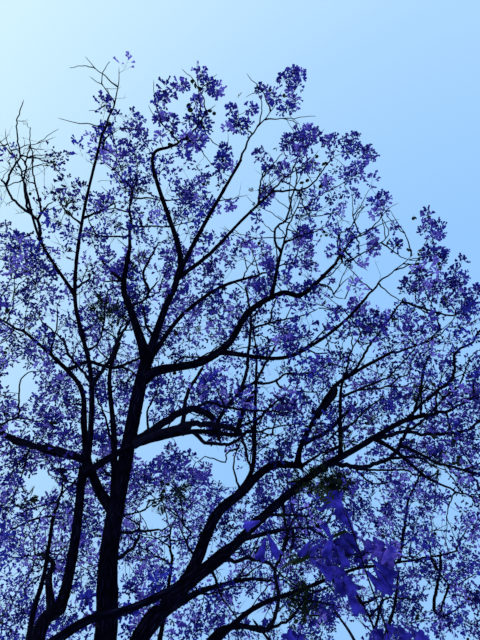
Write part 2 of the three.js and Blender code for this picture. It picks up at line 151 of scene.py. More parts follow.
LIMB_ROWS = (
    LimbRow("trunk", 0.31, 0.155, "", 0, 0, (
        (1.6, -81, 86), (1.72, -95, 82), (1.74, -85, 77), (0.81, -88, 68), (1.06, -66, 62),
        (0.9, -62, 42), (0.43, -55, 45))),
    LimbRow("right_stem", 0.165, 0.078, "trunk", 0.51, 0, (
        (0.79, -39, 50), (0.79, 39, 62), (0.79, -17, 62), (0.43, 4, 45), (0.51, -4, 36),
        (0.49, 34, 24))),
    LimbRow("left_stem", 0.14, 0.084, "trunk", 0.24, 0, (
        (1.42, -101, 66), (1.42, -101, 66), (0.64, 108, 70), (0.62, -82, 77), (0.81, -80, 60))),
    LimbRow("left_low_bough", 0.118, 0.04, "trunk", 0.76, 1.4, (
        (0.38, -160, 55), (0.42, -120, 50), (0.3, -170, 46), (0.49, -176, 38), (0.78, -159, 31),
        (0.4, -151, 26))),
    LimbRow("left_bough", 0.08, 0.036, "left_low_bough", 0.29, 1.4, (
        (0.49, -95, 55), (0.54, -89, 48), (0.64, -129, 39), (0.72, -134, 34))),
    LimbRow("top_left_bough", 0.07, 0.028, "left_stem", 0.96, 0.9, (
        (0.48, -68, 57), (0.87, -79, 43), (0.99, -89, 30), (0.98, -66, 12), (1.1, -56, 0))),
    LimbRow("bare_left_bough", 0.044, 0.026, "top_left_bough", 0.54, 1, (
        (0.89, -110, 27), (0.78, -91, 21))),
    LimbRow("crossing_bough", 0.078, 0.046, "left_stem", 0.98, 1.25, (
        (0.52, -15, 0), (0.35, 5, 17), (0.56, 27, 33), (0.57, 44, 32), (0.3, 45, 43))),
    LimbRow("leader_bough", 0.084, 0.04, "trunk", 0.75, 1.45, (
        (1.06, -89, 63), (1.01, -96, 63), (0.83, -67, 76))),
    LimbRow("upright_bough", 0.06, 0.034, "right_stem", 0.72, 1.25, (
        (0.42, -20, 50), (0.6, -63, 46), (0.83, -62, 54))),
    LimbRow("inner_bough", 0.122, 0.05, "trunk", 0.985, 1.4, (
        (0.76, -95, 32), (0.39, -99, 51), (0.6, -65, 30))),
    LimbRow("overhead_bough", 0.104, 0.034, "trunk", 0.99, 1.1, (
        (0.69, -52, 36), (0.45, -49, 26), (0.41, -68, 14), (1.14, -88, -5), (0.35, -25, 18))),
    LimbRow("right_tip_bough", 0.062, 0.032, "overhead_bough", 0.4, 1.15, (
        (0.69, -44, 0), (1, -42, 3))),
    LimbRow("right_arc_bough", 0.058, 0.032, "overhead_bough", 0.37, 1.15, (
        (0.59, -17, 24), (0.72, -26, 24), (0.62, -24, 16))),
    LimbRow("middle_bough", 0.066, 0.036, "trunk", 0.97, 1.4, (
        (0.73, -33, 43), (0.44, -20, 43), (0.55, -10, 33), (0.56, 6, 32))),
    LimbRow("long_bough", 0.116, 0.044, "trunk", 0.95, 1.25, (
        (0.25, -5, 24), (0.56, 14, 21), (0.44, -13, 13), (0.5, -38, 11), (0.5, -9, 12), (0.33, 23, 17),
        (0.8, -15, 34))),
    LimbRow("long_bough_spur", 0.048, 0.03, "long_bough", 0.62, 1.15, (
        (0.52, -60, 11), (0.22, -55, 16))),
    LimbRow("outer_bough", 0.062, 0.032, "long_bough", 0.32, 1.25, (
        (0.8, 25, 0), (0.51, -5, 0), (0.52, -21, 0), (0.4, -30, 5))),
    LimbRow("right_rising_bough", 0.068, 0.036, "right_stem", 0.98, 1.3, (
        (0.32, -46, 39), (0.8, -32, 30), (0.51, -8, 23), (0.6, -2, 19))),
    LimbRow("right_low_bough", 0.108, 0.052, "right_stem", 0.42, 1.4, (
        (0.46, 17, 41), (0.66, -2, 38), (0.83, -5, 29), (0.58, 0, 20), (0.76, 2, 23), (0.42, 16, 22))),
    LimbRow("right_spur", 0.05, 0.03, "right_low_bough", 0.62, 1.2, (
        (0.77, -66, 31), (0.25, -50, 20))),
    LimbRow("right_drooping_bough", 0.054, 0.032, "right_low_bough", 0.76, 1.3, (
        (0.43, 54, 13), (0.64, 60, 9), (0.3, 52, 9))),
    LimbRow("front_bough", 0.072, 0.036, "left_stem", 0.56, 0.85, (
        (0.4, -9, 14), (0.3, 22, 20), (0.34, 15, 26), (0.29, 5, 31), (0.39, 2, 31), (0.48, 24, 25))),
    LimbRow("lower_bough", 0.084, 0.036, "trunk", 0.44, 1.35, (
        (1.1, 43, 65), (1.1, 43, 65), (0.47, 46, 39), (0.74, 70, 33), (0.44, 6, 65), (0.34, -72, 62),
        (0.3, -21, 56))),
    LimbRow("slim_stem", 0.088, 0.038, "trunk", 0.13, 1.25, (
        (1.44, -133, 76), (1.44, -133, 76), (1.44, -133, 76), (0.81, 164, 80), (0.83, -108, 76))),
    LimbRow("far_left_bough", 0.11, 0.042, "trunk", 0.36, 1.45, (
        (1.2, 150, 62), (1.2, 138, 56), (1.2, 158, 50), (1.1, 144, 44), (0.7, 152, 36))),
    LimbRow("far_back_bough", 0.106, 0.042, "trunk", 0.47, 1.45, (
        (1.12, 110, 58), (1.24, 84, 63), (1.13, 101, 69), (1.01, -45, 82))),
    LimbRow("far_middle_bough", 0.098, 0.042, "trunk", 0.57, 1.45, (
        (1, 76, 62), (1, 60, 54), (1, 76, 48), (0.9, 62, 42), (0.5, 70, 38))),
    LimbRow("far_right_bough", 0.062, 0.036, "lower_bough", 0.42, 1.45, (
        (0.9, 30, 48), (1, 44, 38), (1, 30, 30), (0.5, 38, 26))),
    LimbRow("back_left_bough", 0.072, 0.036, "left_stem", 0.66, 1.4, (
        (0.8, 150, 62), (0.9, 132, 56), (0.9, 142, 50), (0.4, 136, 44))),
    LimbRow("low_bough", 0.062, 0.022, "trunk", 0.27, 0.62, (
        (0.7, -36, 40), (0.8, -48, 20), (1, -42, 0), (0.6, -52, -18), (0.4, -90, -28))),
)


class Slot(Enum):
    """The record's material slots."""

    BARK = "bark"
    BLOSSOM = "blossom"


class Tint(Enum):
    """The blossom's base colours, dealt out by spray: (darker, paler)."""

    DEEP = ((0.007, 0.007, 0.150), (0.026, 0.025, 0.310))
    VIOLET = ((0.034, 0.022, 0.280), (0.082, 0.058, 0.470))
    BLUE = ((0.014, 0.016, 0.300), (0.050, 0.054, 0.530))
    # LILAC is the flowers' own paler colour, brightened in part as painted sunlight
    LILAC = ((0.135, 0.095, 0.550), (0.320, 0.245, 0.880))
    # SHADE is painted shade: a darker copy of the blossom's colour, dealt to sprays at random
    SHADE = ((0.003, 0.004, 0.065), (0.012, 0.013, 0.160))


TINT_WEIGHTS = {Tint.DEEP: 0.24, Tint.VIOLET: 0.21, Tint.BLUE: 0.21, Tint.LILAC: 0.22, Tint.SHADE: 0.12}

# Twigs: the darker and the paler tone of their bark, both painted shade: near-black with a blue cast, as
# backlit twigs look against the sky
TWIG_TONES = ((0.0009, 0.0010, 0.0050), (0.0034, 0.0036, 0.0140))


@dataclass(frozen=True)
class PanicleKind:
    """A panicle's make: its least and greatest length, its side stalks, and the flowers it carries."""

    length: Pair
    stalks: int
    flowers: int
    top_flowers: int


class Panicle(Enum):
    """The kinds of panicle."""

    LARGE = PanicleKind((0.25, 0.34), 14, 4, 6)
    USUAL = PanicleKind((0.18, 0.26), 9, 3, 4)
    SMALL = PanicleKind((0.12, 0.18), 6, 2, 2)


@dataclass(frozen=True)
class MassLook:
    """How a mass is filled: the tips in the fan at each shoot's end, how far apart the other tips
    stay, the share of tips that bloom, the kind of panicle, how large its flowers are, how thick its
    twigs are, how many leaves and pods it has beside the usual, and whether it is so near the eye
    that what grows inside the frame is left out."""

    fan: int = 5
    spacing: float = 0.34
    bloom_share: float = 0.92
    panicle: Panicle = Panicle.USUAL
    flower_size: float = 1.1
    twig_girth: float = 1.0
    leafiness: float = 1.0
    near: bool = False


FAR = MassLook(6, 0.27, 0.96, Panicle.USUAL, 0.95)
FULL = MassLook(6, 0.28, 0.96, Panicle.USUAL, 1.03)
OPEN = MassLook(4, 0.31, 0.92, Panicle.USUAL, 1.06)
AIRY = MassLook(1, 0.65, 0.4, Panicle.USUAL, 1.15)
MASS_LOOKS = {
    "left_low_bough": FULL, "left_bough": FULL, "back_left_bough": FAR, "slim_stem": FULL,
    "far_left_bough": FAR, "far_back_bough": FAR, "far_middle_bough": FAR,
    "far_right_bough": MassLook(6, 0.26, 0.95, Panicle.USUAL, 0.97),
    "lower_bough": OPEN, "crossing_bough": OPEN, "leader_bough": OPEN, "upright_bough": OPEN,
    "inner_bough": OPEN, "right_low_bough": FULL, "right_drooping_bough": FULL,
    "right_rising_bough": OPEN, "right_spur": OPEN, "middle_bough": MassLook(2, 0.5, 0.75),
    "front_bough": MassLook(2, 0.36, 0.2, Panicle.SMALL, 1.0, 0.8, 2.0),
    "overhead_bough": AIRY, "right_tip_bough": AIRY, "right_arc_bough": AIRY,
    "long_bough": AIRY, "long_bough_spur": AIRY, "outer_bough": AIRY,
    "top_left_bough": MassLook(2, 0.34, 0.25, Panicle.SMALL),
    "bare_left_bough": MassLook(2, 0.34, 0.12, Panicle.SMALL),
    "low_bough": MassLook(2, 0.22, 0.9, Panicle.SMALL, 1.0, 0.85, 0.6, True),
}

# The crown's upper edge as seen from the eye, and the openings in it: places and radii in pixels
CROWN_EDGE = (
    (-300, 90), (0, 118), (20, 104), (60, 150), (92, 112), (112, 42), (132, 42), (155, 60), (190, 62),
    (215, 72), (226, 95), (262, 88), (284, 70), (305, 70), (308, 105), (318, 127), (356, 130),
    (376, 150), (379, 190), (402, 190), (430, 200), (446, 216), (448, 262), (456, 254), (472, 254),
    (700, 262))
OPENINGS = (
    (400, 262, 15), (384, 290, 11), (18, 388, 13), (148, 446, 10), (172, 446, 9), (195, 447, 9),
    (242, 483, 6), (152, 520, 10), (36, 484, 13), (225, 470, 10), (250, 606, 13), (110, 410, 7),
    (376, 503, 3), (262, 112, 14), (311, 577, 3), (344, 605, 2), (258, 138, 4), (432, 606, 3),
    (452, 512, 3), (446, 537, 2), (368, 577, 3), (262, 620, 4), (342, 629, 2), (375, 285, 13),
    (98, 178, 9), (272, 222, 9), (245, 222, 8), (285, 205, 6), (330, 112, 14), (205, 350, 7),
    (418, 232, 8))

# Where the spurs are thick with blossom, likewise
DENSE_PLACES = (
    (55, 405, 28), (40, 370, 26), (10, 365, 22), (20, 440, 24), (60, 440, 24), (140, 425, 26),
    (175, 405, 28), (215, 400, 24), (160, 375, 22), (215, 445, 18), (180, 470, 20), (150, 570, 24),
    (170, 610, 24), (215, 610, 22), (395, 500, 24), (335, 605, 30), (130, 590, 22))

# Side branches as seen from the eye: width at the foot and the tip, then places, all in pixels
SIDE_BRANCHES = (
    (2.2, 1.2, 297, 206, 308, 187, 327, 164, 335, 156),
    (1.6, 0.8, 297, 213, 305, 207, 317, 197, 334, 188, 345, 182),
    (1.5, 0.7, 297, 216, 310, 216, 326, 215, 336, 212), (1.6, 1.0, 276, 270, 277, 252, 275, 245),
    (2.6, 1.4, 282, 251, 276, 245, 275, 238, 276, 227, 286, 220, 290, 205, 292, 197, 297, 179, 296, 168),
    (1.5, 0.8, 286, 220, 295, 215), (2, 0.8, 289, 245, 302, 235, 319, 230, 326, 224),
    (2, 0.9, 310, 272, 316, 282, 328, 287, 334, 294),
    (1.6, 0.7, 317, 279, 333, 273, 341, 263, 349, 261), (1.4, 0.6, 334, 293, 341, 285, 351, 276),
    (1.8, 0.8, 337, 244, 339, 235, 346, 231, 353, 224, 357, 214, 366, 206),
    (1.4, 0.6, 240, 272, 250, 265, 259, 259, 263, 254), (1, 0.5, 271, 231, 260, 221),
    (1.6, 0.7, 384, 255, 387, 237, 382, 217), (1.4, 0.6, 337, 246, 342, 255, 348, 261),
    (2.4, 1.0, 250, 195, 262, 176, 268, 166), (1.6, 0.7, 264, 178, 279, 157, 283, 151),
    (1.4, 0.6, 250, 196, 266, 188, 278, 177),
    (3, 1.6, 352, 380, 357, 367, 370, 345, 382, 330, 393, 313, 405, 297),
    (2.4, 1.6, 442, 325, 452, 316, 454, 308), (2.6, 1.3, 361, 399, 383, 380, 400, 365, 416, 347),
    (2.2, 1, 417, 399, 422, 376, 428, 358, 434, 352, 444, 350),
    (2.2, 1, 363, 397, 387, 387, 398, 378, 410, 372, 411, 362, 417, 352),
    (1.6, 0.8, 387, 388, 401, 387, 413, 383), (1.8, 1, 344, 386, 344, 375, 354, 365),
    (2, 0.9, 430, 331, 429, 315, 424, 305, 415, 297), (1.6, 0.8, 389, 253, 401, 257, 409, 260),
    (1.5, 0.8, 320, 284, 331, 288, 335, 297, 345, 299), (1.5, 0.7, 336, 244, 339, 252, 347, 260),
    (2.2, 1.2, 296, 355, 309, 345, 319, 335, 330, 325),
    (4.5, 2.2, 214, 425, 223, 412, 231, 402, 240, 390, 247, 371, 248, 358, 250, 336, 251, 318, 248, 300,
     245, 285),
    (3.5, 1.6, 241, 390, 255, 381, 267, 361, 276, 344, 280, 335),
    (2.6, 1.4, 255, 381, 262, 384, 275, 381, 287, 374, 303, 374, 319, 370, 332, 364),
    (2, 1.2, 277, 382, 283, 389, 296, 391, 317, 393), (5, 4.5, 236, 426, 245, 407, 256, 389),
    (3, 1.8, 245, 427, 258, 419, 266, 411, 278, 400, 296, 391),
    (5, 3, 180, 415, 186, 400, 194, 381, 204, 365),
    (3.4, 1.6, 191, 414, 209, 403, 225, 407, 248, 410, 268, 411, 286, 413),
    (1.8, 0.9, 225, 405, 217, 390, 211, 378),
    (9, 7, 128, 446, 150, 432, 165, 422, 180, 413, 192, 409, 205, 413, 216, 420),
    (7, 6, 135, 443, 155, 435, 175, 428, 195, 424, 215, 425, 240, 430),
    (6, 5, 183, 434, 188, 428, 192, 420), (2.6, 1.2, 439, 568, 450, 553, 460, 540, 470, 524),
    (2, 1, 437, 590, 450, 585, 465, 580, 480, 572), (2.4, 1.2, 425, 622, 440, 616, 455, 610, 470, 598),
    (2, 1, 436, 570, 430, 550, 432, 530), (4, 3, 194, 433, 205, 443, 217, 443, 230, 444, 243, 435),
    (5, 4, 217, 425, 220, 443), (7, 5, 72, 452, 55, 449, 35, 446, 15, 441, 4, 434, 0, 425),
    (3.4, 2.2, 243, 431, 245, 447, 248, 459, 254, 472),
    (2.6, 1.4, 160, 381, 170, 367, 182, 358, 201, 357, 221, 345),
    (2.4, 1.2, 264, 333, 270, 322, 271, 313, 276, 300, 281, 288),
    (2, 1, 271, 323, 287, 319, 305, 315, 319, 308), (1.8, 0.9, 251, 318, 262, 306, 268, 297),
    (2.2, 1.2, 292, 343, 305, 349, 319, 354, 330, 352),
    (2.2, 1.2, 17, 399, 18, 418, 26, 419, 34, 421, 49, 420),
    (2.4, 1.6, 65, 512, 53, 515, 30, 521, 0, 536), (1.8, 1, 26, 457, 18, 465, 0, 485),
    (1.8, 1, 34, 461, 17, 489, 0, 508), (2.6, 1.4, 114, 442, 108, 430, 105, 415, 98, 400, 94, 388),
    (2, 1.6, 112, 479, 102, 469), (2.4, 1.6, 143, 427, 147, 410, 153, 400, 158, 388),
    (2.2, 1.4, 61, 490, 74, 478), (1.6, 1, 60, 489, 49, 475),
    (3, 1.2, 87, 383, 81, 370, 69, 354, 64, 342, 55, 333, 41, 320, 39, 309),
    (2.2, 1, 52, 353, 54, 338, 57, 326, 57, 305), (2.6, 1.6, 78, 287, 88, 280, 90, 271),
    (4, 2, 120, 283, 106, 265, 102, 258), (2, 1, 117, 284, 103, 281, 95, 273),
    (2.2, 1.2, 92, 350, 98, 342, 104, 322, 107, 292, 118, 287), (1.6, 1.2, 105, 362, 95, 346),
    (4.5, 2.6, 92, 386, 99, 375, 110, 360, 120, 337, 131, 318),
    (4, 2.4, 70, 366, 88, 362, 103, 366, 120, 366, 141, 357, 159, 346),
    (2.4, 1.2, 120, 366, 134, 373, 138, 380), (1.6, 0.9, 134, 374, 124, 383, 115, 371),
    (2, 1, 17, 399, 20, 385, 25, 375, 41, 370), (1.4, 0.7, 74, 356, 79, 342),
    (2.6, 1.4, 145, 301, 153, 295, 160, 292), (2.4, 1.4, 145, 300, 152, 288, 160, 280),
    (3, 1.6, 140, 283, 143, 274, 150, 259, 154, 251, 158, 242), (3, 2, 151, 338, 146, 325, 143, 304),
    (3.4, 2, 49, 237, 37, 220, 20, 206, 11, 197, 6, 185, 0, 178),
    (2.2, 0.9, 6, 185, 12, 170, 20, 157, 18, 143, 17, 122, 21, 108, 24, 99),
    (2.4, 1.6, 30, 212, 27, 205, 24, 182, 26, 165, 20, 157),
    (1.6, 0.7, 21, 155, 34, 157, 44, 161, 53, 163),
    (2.2, 0.8, 42, 219, 41, 211, 36, 188, 33, 170, 33, 155, 30, 145, 31, 126),
    (1.4, 1, 26, 165, 30, 145), (1.2, 0.8, 35, 185, 25, 179, 13, 170, 7, 161),
    (2.6, 1.2, 83, 219, 100, 211, 119, 201), (1.8, 0.9, 42, 214, 48, 205, 55, 200),
    (2.2, 1, 73, 223, 66, 211, 61, 202, 60, 190), (1.6, 0.9, 102, 151, 108, 150, 112, 153, 119, 161),
    (1.8, 0.8, 102, 150, 106, 138, 119, 129),
    (4, 2.4, 377, 439, 404, 432, 427, 435, 452, 433, 468, 430, 479, 421, 490, 412),
    (5, 3, 305, 445, 325, 433, 345, 414, 358, 403), (3, 1.6, 302, 467, 318, 455, 335, 447, 342, 444),
    (2.6, 1.4, 338, 432, 352, 424, 366, 410, 384, 396), (7, 6, 320, 417, 330, 400, 337, 386),
    (3, 2, 407, 421, 422, 403, 437, 391, 450, 382), (3, 1.6, 408, 431, 427, 417, 442, 400),
    (3.4, 2, 428, 399, 437, 391, 450, 382, 454, 371, 454, 357, 459, 350, 473, 342, 479, 332, 492, 322),
    (2.2, 1.2, 442, 400, 460, 384, 467, 365, 474, 352),
    (5, 3.4, 338, 473, 361, 467, 387, 460, 395, 452, 404, 437, 409, 423),
    (3, 1.8, 391, 459, 415, 457, 428, 463, 439, 470),
    (3.4, 2.2, 404, 445, 418, 453, 438, 463, 463, 470, 479, 474, 492, 478),
    (2.6, 1.6, 338, 470, 365, 470, 405, 470, 414, 475, 428, 477, 440, 473),
    (2, 1, 463, 471, 479, 464, 488, 458), (2, 1, 470, 475, 479, 486, 484, 497),
    (2.2, 1.2, 356, 474, 371, 483, 391, 482),
    (3.4, 2, 398, 567, 404, 531, 408, 502, 418, 480, 425, 466),
    (2.2, 1.6, 344, 444, 333, 450, 320, 457), (1.8, 1.2, 340, 428, 328, 440, 320, 452),
    (2.6, 1.4, 414, 411, 420, 390, 427, 360), (1.6, 1, 390, 462, 401, 466, 418, 466, 424, 460),
    (2, 1, 120, 517, 141, 511, 151, 501, 167, 497, 177, 489), (4, 3, 120, 566, 130, 550, 140, 532),
    (3.4, 2, 120, 536, 130, 532, 139, 530, 150, 531, 163, 530), (1.6, 1, 141, 530, 141, 511),
    (2.6, 1.2, 188, 555, 186, 542, 191, 532, 185, 526, 175, 511, 168, 506),
    (1.6, 0.9, 186, 526, 182, 511, 180, 491),
    (2.4, 1.4, 178, 567, 169, 564, 159, 558, 150, 557, 140, 560, 132, 557),
    (2.2, 1.2, 236, 490, 234, 470, 235, 455, 241, 440),
    (4, 3, 227, 565, 237, 561, 247, 558, 260, 560, 273, 567, 276, 578, 279, 599, 274, 620, 264, 630),
    (1.6, 0.9, 250, 557, 257, 542, 262, 530), (1.8, 1, 233, 585, 242, 572, 252, 561),
    (1.8, 1, 233, 586, 252, 571, 265, 563), (3, 2, 214, 572, 218, 587, 222, 599),
    (2, 1.2, 199, 597, 212, 593, 232, 587, 247, 587),
    (1.8, 0.9, 232, 449, 227, 453, 225, 462, 214, 459, 204, 458, 195, 463),
    (4, 2, 240, 522, 260, 516, 291, 515, 309, 516), (3, 2, 283, 504, 287, 536, 282, 554, 275, 570),
    (2, 1.2, 287, 538, 301, 531, 308, 527), (2, 1.2, 291, 536, 311, 539),
    (3.4, 2.4, 355, 640, 362, 604, 348, 582, 343, 572), (2.4, 1.6, 368, 600, 372, 623, 376, 634),
    (3, 2, 383, 628, 383, 595), (2.2, 1.4, 372, 616, 382, 603, 390, 598, 418, 600),
    (2.4, 1.6, 362, 604, 382, 595), (3.6, 2.6, 418, 630, 434, 607, 439, 575, 441, 550),
    (3, 1.6, 288, 640, 290, 619, 306, 598, 321, 590, 336, 586), (1.8, 1, 311, 609, 333, 605, 347, 609),
    (4, 3, 264, 630, 254, 627, 240, 627))

# Sprays of blossom that show one by one: place and radius, likewise
SPRAYS = (
    (200, 71, 6), (183, 85, 5), (174, 88, 4), (209, 85, 6), (217, 90, 7), (197, 101, 5), (192, 120, 5),
    (204, 118, 6), (205, 128, 6), (190, 139, 8), (200, 140, 8), (186, 150, 6), (230, 109, 5),
    (239, 125, 8), (228, 128, 4), (252, 108, 6), (262, 90, 6), (272, 96, 7), (282, 80, 6), (292, 75, 7),
    (301, 75, 6), (298, 84, 6), (292, 92, 5), (296, 101, 6), (288, 107, 5), (281, 111, 3),
    (289, 141, 8), (297, 134, 8), (307, 134, 8), (316, 134, 6), (310, 144, 6), (300, 152, 7),
    (226, 150, 6), (222, 160, 7), (233, 166, 4), (221, 172, 6), (258, 155, 6), (267, 164, 5),
    (275, 169, 6), (284, 167, 6), (282, 176, 4), (305, 166, 6), (312, 168, 6), (266, 192, 7),
    (264, 200, 5), (232, 204, 5), (210, 206, 4), (257, 218, 4), (302, 193, 3), (315, 196, 6),
    (316, 205, 4), (331, 199, 4), (332, 214, 4), (326, 180, 5), (326, 141, 5), (335, 140, 6),
    (330, 153, 4), (346, 142, 5), (354, 137, 5), (349, 152, 5), (359, 150, 5), (366, 153, 6),
    (371, 155, 5), (363, 160, 5), (356, 166, 5), (345, 173, 6), (351, 176, 6), (359, 174, 5),
    (329, 183, 6), (341, 210, 4), (351, 233, 5), (346, 241, 5), (344, 251, 4), (309, 252, 5),
    (303, 233, 6), (299, 240, 5), (307, 231, 5), (245, 240, 5), (250, 244, 4), (267, 249, 3),
    (226, 244, 3), (267, 262, 7), (270, 268, 6), (258, 277, 6), (248, 282, 5), (263, 288, 7),
    (275, 280, 6), (286, 276, 6), (295, 292, 6), (309, 288, 7), (303, 266, 5), (292, 262, 5),
    (371, 234, 6), (373, 250, 7), (363, 262, 4), (350, 262, 4), (395, 227, 4), (382, 196, 5),
    (387, 200, 3), (372, 203, 4), (382, 210, 6), (373, 214, 4), (427, 213, 5), (427, 224, 6),
    (440, 225, 6), (440, 232, 5), (434, 237, 5), (423, 230, 4), (430, 252, 7), (440, 254, 7),
    (396, 246, 5), (422, 271, 5), (406, 283, 5), (414, 288, 6), (419, 285, 5), (433, 290, 6),
    (436, 285, 5), (462, 260, 4), (455, 270, 5), (450, 282, 4), (355, 302, 5), (365, 308, 6),
    (358, 312, 5), (340, 313, 6), (411, 318, 6), (408, 326, 4), (163, 98, 5), (157, 102, 4),
    (166, 117, 6), (160, 118, 5), (174, 120, 4), (139, 119, 3), (108, 128, 4), (103, 133, 4),
    (138, 128, 4), (160, 135, 4), (172, 128, 3), (50, 376, 8), (62, 380, 8), (72, 392, 8), (60, 394, 8),
    (48, 389, 8), (66, 408, 8), (74, 420, 6), (55, 415, 8), (60, 430, 8), (70, 436, 6), (5, 395, 8),
    (8, 408, 8), (3, 421, 6), (98, 386, 6), (100, 395, 4), (107, 399, 6), (118, 397, 7), (124, 389, 6),
    (128, 402, 5), (125, 411, 5), (98, 415, 5), (101, 427, 5), (115, 425, 6), (97, 440, 6),
    (108, 443, 5), (150, 375, 7), (158, 383, 6), (172, 389, 8), (184, 381, 6), (176, 401, 7),
    (165, 405, 8), (155, 415, 7), (160, 396, 7), (196, 395, 5), (203, 386, 6), (206, 401, 5),
    (169, 413, 5), (152, 396, 5), (172, 448, 5), (163, 459, 7), (178, 458, 6), (190, 456, 5),
    (155, 470, 8), (172, 472, 8), (190, 475, 7), (205, 468, 6), (146, 477, 6), (128, 612, 7),
    (140, 625, 7), (150, 606, 7), (144, 600, 5), (155, 617, 6), (125, 632, 6), (160, 592, 5),
    (185, 630, 7), (172, 636, 6), (200, 632, 6), (252, 590, 5), (264, 600, 5), (246, 627, 5),
    (268, 625, 5), (226, 600, 5), (130, 590, 6), (136, 575, 6), (127, 560, 6), (108, 575, 5),
    (85, 600, 6), (92, 620, 6), (325, 606, 7), (340, 600, 7), (331, 619, 6), (350, 612, 6),
    (315, 625, 6), (300, 632, 6), (352, 405, 5), (358, 413, 5), (366, 398, 5), (375, 391, 5),
    (385, 398, 6), (378, 408, 6), (368, 408, 5), (390, 410, 5), (372, 419, 5), (360, 426, 5),
    (350, 419, 5), (345, 395, 4), (355, 387, 4), (365, 384, 4), (376, 382, 4), (395, 396, 5),
    (330, 373, 4), (322, 379, 5), (312, 385, 5), (335, 365, 5), (342, 359, 5), (348, 375, 4),
    (330, 358, 4), (309, 375, 5), (319, 366, 5), (305, 402, 5), (295, 413, 5), (318, 396, 4),
    (330, 410, 5), (334, 419, 5), (371, 434, 5), (362, 440, 4), (350, 441, 5), (386, 431, 5),
    (380, 449, 5), (360, 460, 4), (371, 455, 4), (320, 435, 5), (328, 451, 4), (311, 455, 5),
    (335, 456, 4), (8, 453, 6), (20, 463, 6), (31, 470, 5), (14, 476, 5), (400, 452, 4), (410, 443, 5),
    (425, 447, 5), (436, 455, 5), (370, 519, 5), (380, 526, 5), (388, 516, 5), (393, 501, 5),
    (364, 530, 5), (396, 526, 4), (386, 536, 5), (365, 505, 4), (401, 490, 5), (356, 515, 5),
    (50, 365, 5), (60, 357, 5), (45, 350, 5), (75, 362, 4), (455, 286, 5), (462, 295, 6), (470, 305, 6),
    (477, 290, 6), (448, 300, 6), (464, 311, 6), (450, 626, 6), (462, 616, 6), (471, 630, 6),
    (445, 609, 5), (476, 606, 5), (456, 600, 5), (440, 633, 5), (455, 585, 5), (468, 575, 5),
    (415, 575, 5), (405, 590, 5), (418, 600, 5), (400, 610, 5), (212, 262, 5), (205, 270, 5),
    (222, 258, 4), (230, 265, 4), (216, 274, 5), (238, 248, 4), (204, 252, 4), (208, 240, 3),
    (228, 236, 4), (207, 290, 6), (215, 296, 6), (200, 300, 5), (222, 290, 5), (225, 305, 5),
    (212, 308, 5), (235, 295, 4), (232, 312, 4), (165, 290, 5), (172, 300, 6), (182, 288, 5),
    (190, 298, 6), (178, 312, 5), (165, 310, 5), (195, 312, 5), (186, 280, 4), (165, 255, 5),
    (172, 262, 5), (180, 252, 5), (190, 262, 5), (168, 272, 5), (182, 272, 5), (195, 250, 4),
    (125, 262, 5), (133, 270, 5), (140, 258, 4), (128, 250, 4), (120, 272, 5), (125, 290, 5),
    (131, 300, 5), (140, 312, 5), (122, 311, 5))

# Bunches of green pods: place, likewise
POD_BUNCHES = (
    (193, 84), (197, 88), (186, 109), (238, 97), (213, 111), (271, 92), (283, 98), (277, 148),
    (305, 182), (319, 156), (336, 150), (326, 161), (322, 184), (414, 216), (428, 215), (410, 252),
    (418, 252), (261, 244), (309, 207), (420, 262), (408, 281), (388, 240), (399, 243), (367, 335),
    (384, 333), (269, 277), (213, 267), (222, 288), (169, 134), (112, 123), (403, 290), (419, 318))

# Clumps of dark leaves: place and radius, likewise
LEAF_CLUMPS = (
    (106, 306, 15), (118, 314, 12), (96, 311, 8), (318, 482, 13), (335, 484, 12), (303, 478, 9),
    (66, 206, 7), (28, 500, 9), (140, 262, 8), (160, 504, 8), (178, 491, 6), (345, 440, 9),
    (372, 425, 8), (440, 462, 8), (415, 392, 8), (300, 600, 9), (306, 615, 8), (312, 478, 12),
    (328, 476, 12), (340, 479, 10), (325, 488, 12), (345, 486, 9), (300, 486, 8), (335, 493, 8),
    (295, 608, 9), (310, 606, 9), (318, 612, 8), (288, 598, 7), (300, 590, 7))


# Directions, random numbers and curves


def unit(vectors: Array) -> Array:
    """Vectors scaled to a length of 1, along the last axis."""
    return vectors / np.maximum(np.linalg.norm(vectors, axis=-1, keepdims=True), 1e-12)


def boxed(points: Array, margin: float) -> Array:
    """True for each point that is inside the solids' box by more than a margin."""
    return np.all((points > BOX_LOW + margin) & (points < BOX_HIGH - margin), axis=-1)


def direction(bearing: float, rise: float) -> Array:
    """The direction with a bearing from +X towards +Y and a rise above the horizon, in degrees."""
    b, r = math.radians(bearing), math.radians(rise)
    return np.array([math.cos(r) * math.cos(b), math.cos(r) * math.sin(b), math.sin(r)])


def turned(vectors: Array, axes: Array, angles: Array) -> Array:
    """Vectors turned round unit axes.

    Args:
        vectors: the vectors, (..., 3).
        axes: unit axes of the same shape, or one for all.
        angles: angles in radians, (...).

    Returns:
        The turned vectors.
    """
    c, s = np.cos(angles)[..., None], np.sin(angles)[..., None]
    along = np.sum(vectors * axes, axis=-1, keepdims=True)
    return vectors * c + np.cross(axes, vectors) * s + axes * along * (1 - c)


def leaning(axes: Array, turns: Array, spreads: Array, lifts: Array) -> Array:
    """Directions that lean away from axes, turned round them and lifted.

    Args:
        axes: unit axes, (..., 3).
        turns: turns round the axis, in degrees.
        spreads: angles from the axis, in degrees.
        lifts: how far the result is pulled upwards.

    Returns:
        Unit directions.
    """
    sides = turned(unit(np.cross(axes, UP)), axes, np.radians(turns))
    lean = np.radians(spreads)[..., None]
    return unit(sides * np.sin(lean) + axes * np.cos(lean) + UP * np.asarray(lifts)[..., None])


def bent(start: Array, middle: Array, end: Array, steps: Array) -> Array:
    """Points on the curve that leaves a start for a middle and bends to an end, at steps from 0 to 1."""
    return start * (1 - steps) ** 2 + middle * 2 * steps * (1 - steps) + end * steps**2


